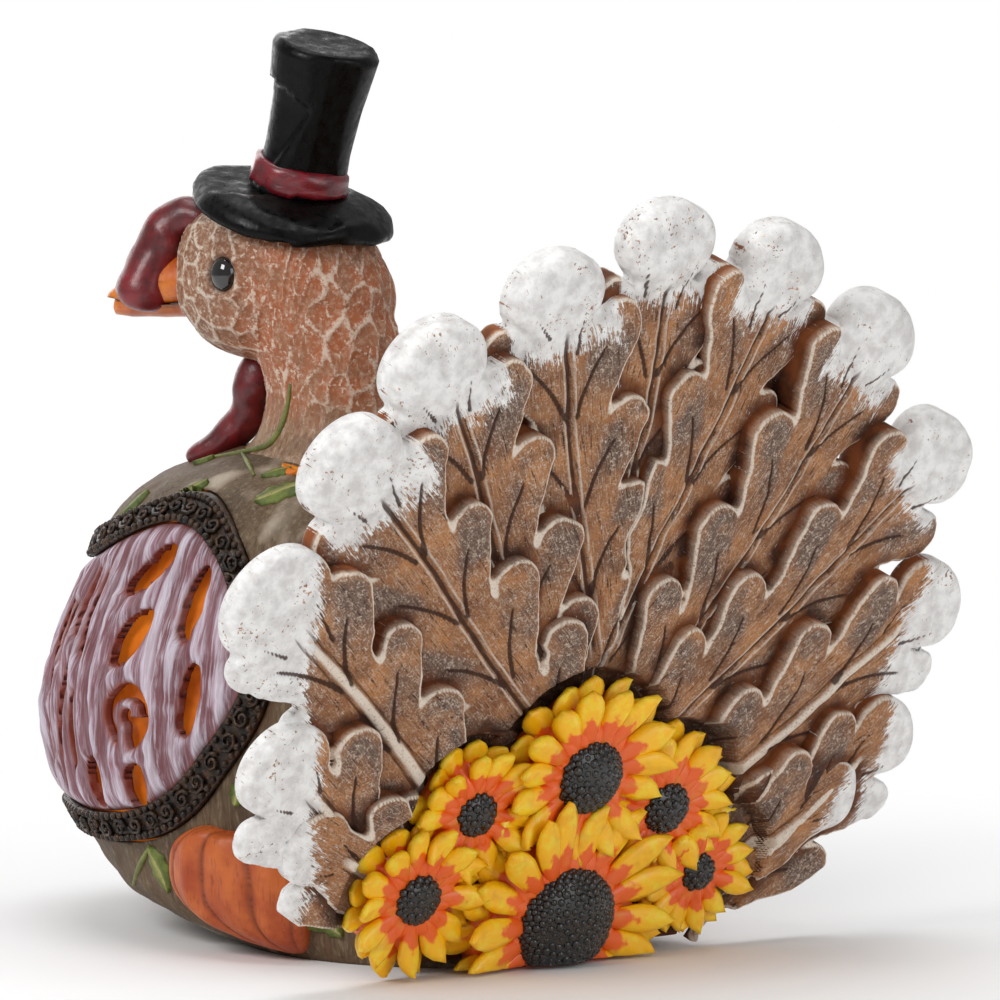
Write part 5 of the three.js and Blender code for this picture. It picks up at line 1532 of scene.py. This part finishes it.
def fleshy(name, node, stations, seed, aside=0.0, sides=36, steps=54):
    """Lumpy red flesh along stations, drifting aside on its way."""
    run = np.linspace(0, len(stations) - 1, steps)
    index = np.arange(len(stations), dtype=float)
    ahead, up, r = np.moveaxis(station_curve(np.column_stack([index, stations]))(run), -1, 0)
    q = run / run[-1]
    ends = np.sqrt(np.clip(1 - (2 * q - 1) ** 10, 0.0004, 1))
    swell = 1 + 0.05 * np.sin(q * 15 + seed) + 0.02 * np.sin(q * 31)
    path = in_head(ahead, aside * q + 0.6 * np.sin(q * 9), up)
    verts = tube_rings(path, r * ends * swell, sides, 0.94)
    lumps = 0.5 * ripple(verts, 6.5, seed) + 0.14 * ripple(verts, 2.4, seed + 1)
    middle = np.repeat(path, sides, axis=0)
    way = verts - middle
    verts = middle + way * (1 + lumps / np.maximum(np.linalg.norm(way, axis=1), 1.2))[:, None]
    marks = {"lump": lumps, "fall": np.repeat(q, sides)}
    made = piece(name, verts, capped(steps, sides), CRIMSON_PAINT, marks)
    return dress(made, "crimson_paint", node)


# Hat
def hewn(verts, faces, gap, seed, most):
    """Flat knife cuts over a surface: each point moves out to the flats laid at scattered places."""
    n = outward(verts, faces)
    random = np.random.default_rng(seed)
    chosen = []
    for i in random.permutation(len(verts)):
        if all(np.linalg.norm(verts[i] - verts[j]) > gap for j in chosen):
            chosen.append(i)
    spots, ways = verts[chosen], n[chosen] + random.normal(0, 0.09, (len(chosen), 3))
    ways = unit(ways)
    facing = n @ ways.T
    reach = np.sum(spots * ways, axis=1)[None] - verts @ ways.T
    near = np.linalg.norm(verts[:, None, :] - spots[None], axis=2) < gap * 1.8
    travel = np.where((facing > 0.45) & near, reach / np.maximum(facing, 0.45), 9.0)
    travel = np.clip(np.min(travel, axis=1), -most, most)
    return verts + n * travel[:, None], travel


def hat_piece(name, node, slot, profile, paint, seed, gap, most, wave=None, sides=96):
    """A turned piece of the hat from a closed profile of radius and height, cut by knife."""
    profile = np.array(profile, dtype=float)
    run = run_along(profile)
    at = np.linspace(0, run[-1], int(run[-1] / 0.7))
    r, h = np.interp(at, run, profile[:, 0]), np.interp(at, run, profile[:, 1])
    turn = full_turn(sides)
    x, y = r[:, None] * np.cos(turn), r[:, None] * np.sin(turn)
    level = h[:, None] + (wave(r[:, None], turn) if wave else 0) * np.ones_like(x)
    verts = in_hat(np.stack([x, y, level], -1).reshape(-1, 3))
    rows = len(at)
    faces = grid_faces(rows, sides, ring=True)
    if profile[0, 0] > AXIS:
        last = (rows - 1) * sides
        faces += [[last + j, last + (j + 1) % sides, (j + 1) % sides, j] for j in range(sides)]
    verts, travel = hewn(verts, faces, gap, seed, most)
    verts = verts + 0.12 * ripple(verts, 2.5, seed)[:, None] * UP
    made = piece(name, verts, faces, paint, {"ridge": travel}, weld=True)
    return dress(made, slot, node)


def brim_wave(r, turn):
    """How far the brim rises or droops."""
    far = np.clip((r - CROWN_R) / (BRIM_R - CROWN_R), 0, 1.1)
    sway = 0.6 * np.cos(2 * turn) + 0.7 * np.sin(3 * turn + 0.6) + 0.5 * np.cos(5 * turn)
    return (sway - BRIM_DROOP) * far**2


def hat():
    """Brim, crown and ribbon."""
    rim, r, tip, low, high = BRIM_R, CROWN_R, CROWN_TOP_R, BRIM_TOP, BRIM_TOP + CROWN_TALL
    brim = [(AXIS, 0), (rim - 1.5, 0), (rim - 0.3, 0.5), (rim, 1.6), (rim - 0.6, 2.8), (rim - 2, 3.2),
            (r + 1.5, 2.6), (AXIS, 2.6)]
    hat_piece("hat_brim_cut", "hat_brim", "hat_paint", brim, HAT_PAINT, 61, 8.5, 0.7, brim_wave)
    crown = [(AXIS, low - 0.6), (r + 0.9, low - 0.6), (r + 0.2, low + 1), (r - 0.2, 12), (r + 0.3, 22),
             (tip + 0.2, high - 1.2), (tip - 0.6, high), (AXIS, high - 0.4)]
    hat_piece("hat_crown_cut", "hat_crown", "hat_paint", crown, HAT_PAINT, 68, 12.0, 0.5)
    band = [(r - 1, 3.0), (r + 1.1, 3.0), (r + 1.3, 4.2), (r + 1.05, 5.4), (r + 0.75, 5.9),
            (r + 1.05, 6.6), (r + 0.9, 8.0), (r + 0.4, 8.7), (r - 1, 8.7)]
    hat_piece("hat_ribbon", "hat_band", "crimson_paint", band, RIBBON_PAINT, 65, 5.5, 0.35)


# Pumpkins, and the carved slab behind the feathers
def pumpkin(word, way):
    """Half a pumpkin in relief that follows the body's skin."""
    back, front, sides = 5, 34, 180
    rise = np.linspace(0, math.pi / 2, front)
    relief = (PUMPKIN["raise"] + PUMPKIN["foot"]) * np.sin(rise) ** 0.7 - PUMPKIN["foot"]
    far = np.concatenate([np.linspace(0, 1, back), np.cos(rise)])[:, None]
    high = np.concatenate([np.full(back, -PUMPKIN["sunk"]), relief])[:, None]
    turn = full_turn(sides)[None, :]
    across, tall = far * np.cos(turn), far * np.sin(turn)
    lon = np.arcsin(np.clip(across / np.sqrt(np.maximum(1e-6, 1 - tall**2)), -1, 1))
    groove = np.abs(np.cos(lon * PUMPKIN["lobes"])) ** 0.6
    dimple = np.exp(-(across / 0.22) ** 2) * smooth_step(0.78, 1.0, tall)
    z = PUMPKIN["z"] + PUMPKIN["tall"] * (tall - 0.12 * dimple)
    drift = body_at(z)[..., 2] - body_at(PUMPKIN["z"])[2]
    middle = PUMPKIN["angle"] * WRAP_RADIUS + PUMPKIN["back"] - PUMPKIN["upright"] * drift
    s = way * middle + PUMPKIN["wide"] * across
    out = np.where(high > 0, high * (0.78 + 0.22 * groove) * (1 - 0.5 * dimple), high)
    verts = on_body(s, z, out).reshape(-1, 3)
    outward_way = verts - on_body(s, z, -5).reshape(-1, 3)
    verts = verts + 0.3 * ripple(verts * np.array([1, 1, 0.4]), 3, 71)[:, None] * outward_way / 6
    verts[:, 2] = np.maximum(verts[:, 2], FLOOR_CLEAR)
    faces = grid_faces(back + front, sides, ring=True)
    marks = {"groove": 1 - groove.ravel()}
    made = piece("pumpkin_carved_" + word, verts, faces, PUMPKIN_PAINT, marks, weld=True)
    return dress(made, "pumpkin_paint", "pumpkin_" + word)


def tail_slab():
    """The slab behind the feathers, with its root block."""

    def field(x, up):
        disc = np.hypot(x, up - SLAB_UP) - SLAB_R
        root = (root_share(x, up) - 1) * ROOT_MEAN
        return np.maximum(soft_min(disc, root, 3), FAN_CLEAR - up * math.cos(FAN_LEAN))

    x, up, depth, layer, faces = carved_sheet(*SLAB_GRID, field, 3)
    in_root = root_share(x, up)
    spots = points_of(x, up)
    uneven = 0.5 * ripple(spots, 8, 81) + 0.3 * ripple(spots, 2.6, 82)
    back = np.where(in_root < 1, 4.0, -0.4) + 0.4 * uneven
    angle = np.arctan2(x, up - SLAB_VEINS_UP)
    away = np.hypot(x, up - SLAB_VEINS_UP)
    leaf = np.abs(np.sin(angle * 9))
    veins = np.abs(np.sin(away * 0.42 - 4 * leaf))
    front = -6.6 - 1.2 * leaf**0.6 - 0.3 * veins + uneven
    front = np.where(in_root < 1, np.minimum(front, -8 - 16 * smooth_step(1.0, 0.9, in_root)), front)
    out = back + (front - back) * layer
    on_front = layer == 1
    cut_edge = smooth_step(0.2, 0.26, leaf) * smooth_step(0.36, 0.3, leaf)
    marks = {
        "grain": points_of(away, angle * 40, 3.0),
        "edge": np.where(on_front & (in_root > 1), cut_edge, 0.0),
        "vein": np.where(on_front, smooth_step(0.992, 0.998, leaf), 0.0),
        "wall": np.where(layer < 1, 0.8, 0.1),
        "white": np.zeros(len(x)),
        "lobe": np.where(on_front, smooth_step(0.3, 0.7, leaf), 0.0),
        # Painted shade over the slab's side beneath the feathers and its walls, and in the gaps between the
        # lobes of its other side
        "recess_shade": np.where(layer < 1, 1.0, smooth_step(0.2, 0.02, leaf)),
        # Painted shade on the slab round the sunflowers
        "flower_shade": np.where(layer == 0, 0.5 * smooth_step(16, 2, flower_edge(x, up)), 0),
    }
    made = piece("tail_slab", on_fan(x, up, out), faces, FEATHER_PAINT, marks)
    return dress(made, "wood_paint", "tail_backing")


CARVED_BODY = body_skin()
breast_grille()
breast_band()
HEAD_AND_NECK = head_and_neck()
eyes()
beak()
fleshy("snood_flesh", "snood", SNOOD, 51, SNOOD_ASIDE)
fleshy("wattle_flesh", "wattle", WATTLE, 55)
hat()
PUMPKIN_LEFT = pumpkin("left", 1)
pumpkin("right", -1)
tail_slab()


# Vines and leaves in low relief, laid out as the photograph shows them
def hull_tree(*pieces):
    """The surfaces that the leaves lie on, in millimetres of the frame."""
    verts, faces = [], []
    for made in pieces:
        start = len(verts)
        verts += [v.co / MM for v in made.data.vertices]
        faces += [[start + i for i in p.vertices] for p in made.data.polygons]
    return BVHTree.FromPolygons(verts, faces)


def seen_point(tree, px, py):
    """Where the view through a picture point meets the figure."""
    aim = picture_point(px, py)
    eye = CAMERA_PLACE / MM
    spot, normal, _, _ = tree.ray_cast(eye, (aim - eye).normalized())
    if spot is None:
        spot, normal, _, _ = tree.find_nearest(aim)
    return spot, normal


def vine(tree, line, thick):
    """A stem along picture points, half sunk in the surface."""
    line = np.array(line, dtype=float)
    run = run_along(line)
    at = np.linspace(0, run[-1], max(6, int(run[-1] / 4)))
    path = []
    for px, py in zip(np.interp(at, run, line[:, 0]), np.interp(at, run, line[:, 1])):
        spot, normal = seen_point(tree, px, py)
        path.append(np.array(spot + normal * 0.15) - SHIFT)
    path = np.array(path)
    for _ in range(3):
        path[1:-1] = (path[:-2] + 2 * path[1:-1] + path[2:]) / 4
    q = np.linspace(0, 1, len(path))
    verts = tube_rings(path, thick * (0.45 + 0.55 * np.sin(np.pi * np.clip(q, 0.08, 0.92))), 8)
    return verts, capped(len(path), 8), np.full(len(verts), 0.25)


def leaf(tree, px, py, turn, long, wide):
    """A small notched leaf that starts at a picture point and points along a picture direction."""
    spot, normal = seen_point(tree, px, py)
    way = VIEW_RIGHT * math.cos(math.radians(turn)) + VIEW_ABOVE * math.sin(math.radians(turn))
    way = (way - normal * way.dot(normal)).normalized()
    side = normal.cross(way)
    rows, columns = 15, 9
    a = np.linspace(0, 1, rows)
    b = np.linspace(-1, 1, columns)
    half = wide / 2 * (np.sin(np.pi * a**0.8) ** 0.8 * (1 + 0.16 * np.sin(a * 26)) + 0.05)
    top, low = [], []
    for i in range(rows):
        for j in range(columns):
            place = spot + way * (a[i] * long) + side * (half[i] * b[j])
            near, out, _, _ = tree.find_nearest(place)
            rise = 0.25 + 0.75 * (1 - b[j] ** 2) - 0.45 * math.exp(-((b[j] / 0.14) ** 2))
            top.append(near + out * rise)
            low.append(near - out * 0.5)
    verts = np.array([v[:] for v in top + low]) - SHIFT
    vein = np.tile(np.exp(-((b / 0.2) ** 2)), rows)
    return verts, two_sided(rows, columns), np.concatenate([vein, 0 * vein])


def greenery(name, parts, paint, mirrored):
    """Stems and leaves as one piece, on both sides of the figure where mirrored."""
    verts, faces, vein = [], [], []
    for v, f, mark in parts:
        for way in ((1, -1) if mirrored else (1,)):
            start = sum(map(len, verts))
            verts.append(v * np.array([way, 1, 1]))
            faces += [[int(i) + start for i in face] for face in f]
            vein.append(mark)
    made = piece(name, np.vstack(verts), faces, paint, {"vein": np.concatenate(vein)})
    return dress(made, "wood_paint")


skin_tree = hull_tree(CARVED_BODY, HEAD_AND_NECK)
greenery("chest_vines", [vine(skin_tree, line, thick) for line, thick in CHEST_VINES]
         + [leaf(skin_tree, *place) for place in CHEST_LEAVES], LEAF_PAINT, False)
greenery("chest_blossom", [leaf(skin_tree, *place) for place in BLOSSOM], BLOSSOM_PAINT, False)
low_tree = hull_tree(CARVED_BODY, PUMPKIN_LEFT)
greenery("pumpkin_leaves", [leaf(low_tree, *place) for place in PUMPKIN_LEAVES]
         + [vine(low_tree, line, thick) for line, thick in PUMPKIN_VINES], LEAF_PAINT, True)


# Solids that keep their shape get their finish
FINISHES = (
    (amber_glow(), ["breast_liner"]),
    (BLACK_PLASTIC, ["base_plate", "battery_box", "battery_door", "switch_body", "switch_knob"]),
    (PLATED_STEEL, ["contacts_front", "contacts_rear", "screw_left", "screw_right"]),
    (CELL_JACKET, ["battery_1", "battery_2", "battery_3"]),
    (BOARD_LACQUER, ["led_board"]),
    (LAMP_LENS, ["lamp"]),
    (RED_WIRE, ["wire_red"]),
    (BLACK_WIRE, ["wire_black"]))
for paint, names in FINISHES:
    for name in names:
        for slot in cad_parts[name].material_slots:
            slot.material = paint


# Camera, light and floor
def aimed(made, place, way, ahead):
    """Puts a camera or lamp at a place, facing along a direction."""
    made.location = place
    made.rotation_mode = "QUATERNION"
    made.rotation_quaternion = way.to_track_quat(ahead, "Y")


def set_camera(scene):
    """The camera that frames the figure as the photograph does."""
    lens = bpy.data.cameras.new("camera")
    lens.sensor_width = 36
    lens.lens = lens.sensor_width * VIEW_FAR / MM / (PICTURE_SIZE / PICTURE_SCALE)
    lens.clip_start, lens.clip_end = 0.05, 50
    scene.camera = placed("camera", lens)
    aimed(scene.camera, CAMERA_PLACE, -VIEW_BACK, "-Z")


def set_lamps():
    """Area lamps round the figure, all facing it."""
    up = Vector((0, 0, 1))
    for name, near, right, above, size, power in LAMPS:
        light = bpy.data.lights.new(name, "AREA")
        light.size = size
        light.energy = power
        place = VIEW_BACK * near + VIEW_RIGHT * right + up * above
        aimed(placed(name, light), place, place - LAMP_AIM, "Z")


def set_world(scene):
    """White where the camera looks, and a dimmer white as light."""
    world = bpy.data.worlds.new("studio")
    scene.world = world
    world.use_nodes = True
    nodes, links = world.node_tree.nodes, world.node_tree.links
    path = nodes.new("ShaderNodeLightPath")
    seen = nodes.new("ShaderNodeMath")
    seen.operation = "MAXIMUM"
    links.new(path.outputs["Is Camera Ray"], seen.inputs[0])
    links.new(path.outputs["Is Transmission Ray"], seen.inputs[1])
    strength = nodes.new("ShaderNodeMapRange")
    links.new(seen.outputs[0], strength.inputs["Value"])
    strength.inputs["To Min"].default_value = WORLD_LIGHT
    strength.inputs["To Max"].default_value = 1.0
    links.new(strength.outputs["Result"], nodes["Background"].inputs["Strength"])
    nodes["Background"].inputs["Color"].default_value = (1, 1, 1, 1)


def pale_floor():
    """Pale paint that keeps the shadow near the figure and turns white farther out."""
    pale = bpy.data.materials.new("pale_floor")
    pale.use_nodes = True
    nodes, links = pale.node_tree.nodes, pale.node_tree.links
    shader = nodes["Principled BSDF"]
    shader.inputs["Base Color"].default_value = (0.9, 0.9, 0.9, 1)
    shader.inputs["Roughness"].default_value = 0.9
    white = nodes.new("ShaderNodeEmission")
    white.inputs["Strength"].default_value = 1.0
    coords = nodes.new("ShaderNodeTexCoord")
    far = nodes.new("ShaderNodeVectorMath")
    far.operation = "LENGTH"
    links.new(coords.outputs["Object"], far.inputs[0])
    fade = nodes.new("ShaderNodeMapRange")
    links.new(far.outputs["Value"], fade.inputs["Value"])
    fade.interpolation_type = "SMOOTHSTEP"
    fade.inputs["From Min"].default_value = SHADOW_NEAR
    fade.inputs["From Max"].default_value = SHADOW_FAR
    path = nodes.new("ShaderNodeLightPath")
    seen = nodes.new("ShaderNodeMath")
    seen.operation = "MULTIPLY"
    links.new(path.outputs["Is Camera Ray"], seen.inputs[0])
    links.new(fade.outputs["Result"], seen.inputs[1])
    blend = nodes.new("ShaderNodeMixShader")
    links.new(seen.outputs[0], blend.inputs[0])
    links.new(shader.outputs[0], blend.inputs[1])
    links.new(white.outputs[0], blend.inputs[2])
    links.new(blend.outputs[0], nodes["Material Output"].inputs["Surface"])
    return pale


def set_floor():
    """A flat floor under the figure."""
    mesh = bpy.data.meshes.new("floor")
    corners = [(-FLOOR_HALF, -FLOOR_HALF, 0), (FLOOR_HALF, -FLOOR_HALF, 0),
               (FLOOR_HALF, FLOOR_HALF, 0), (-FLOOR_HALF, FLOOR_HALF, 0)]
    mesh.from_pydata(corners, [], [(0, 1, 2, 3)])
    mesh.materials.append(pale_floor())
    floor = placed("floor", mesh)


scene = bpy.context.scene
scene.view_settings.view_transform = "Standard"
set_camera(scene)
set_lamps()
set_world(scene)
set_floor()
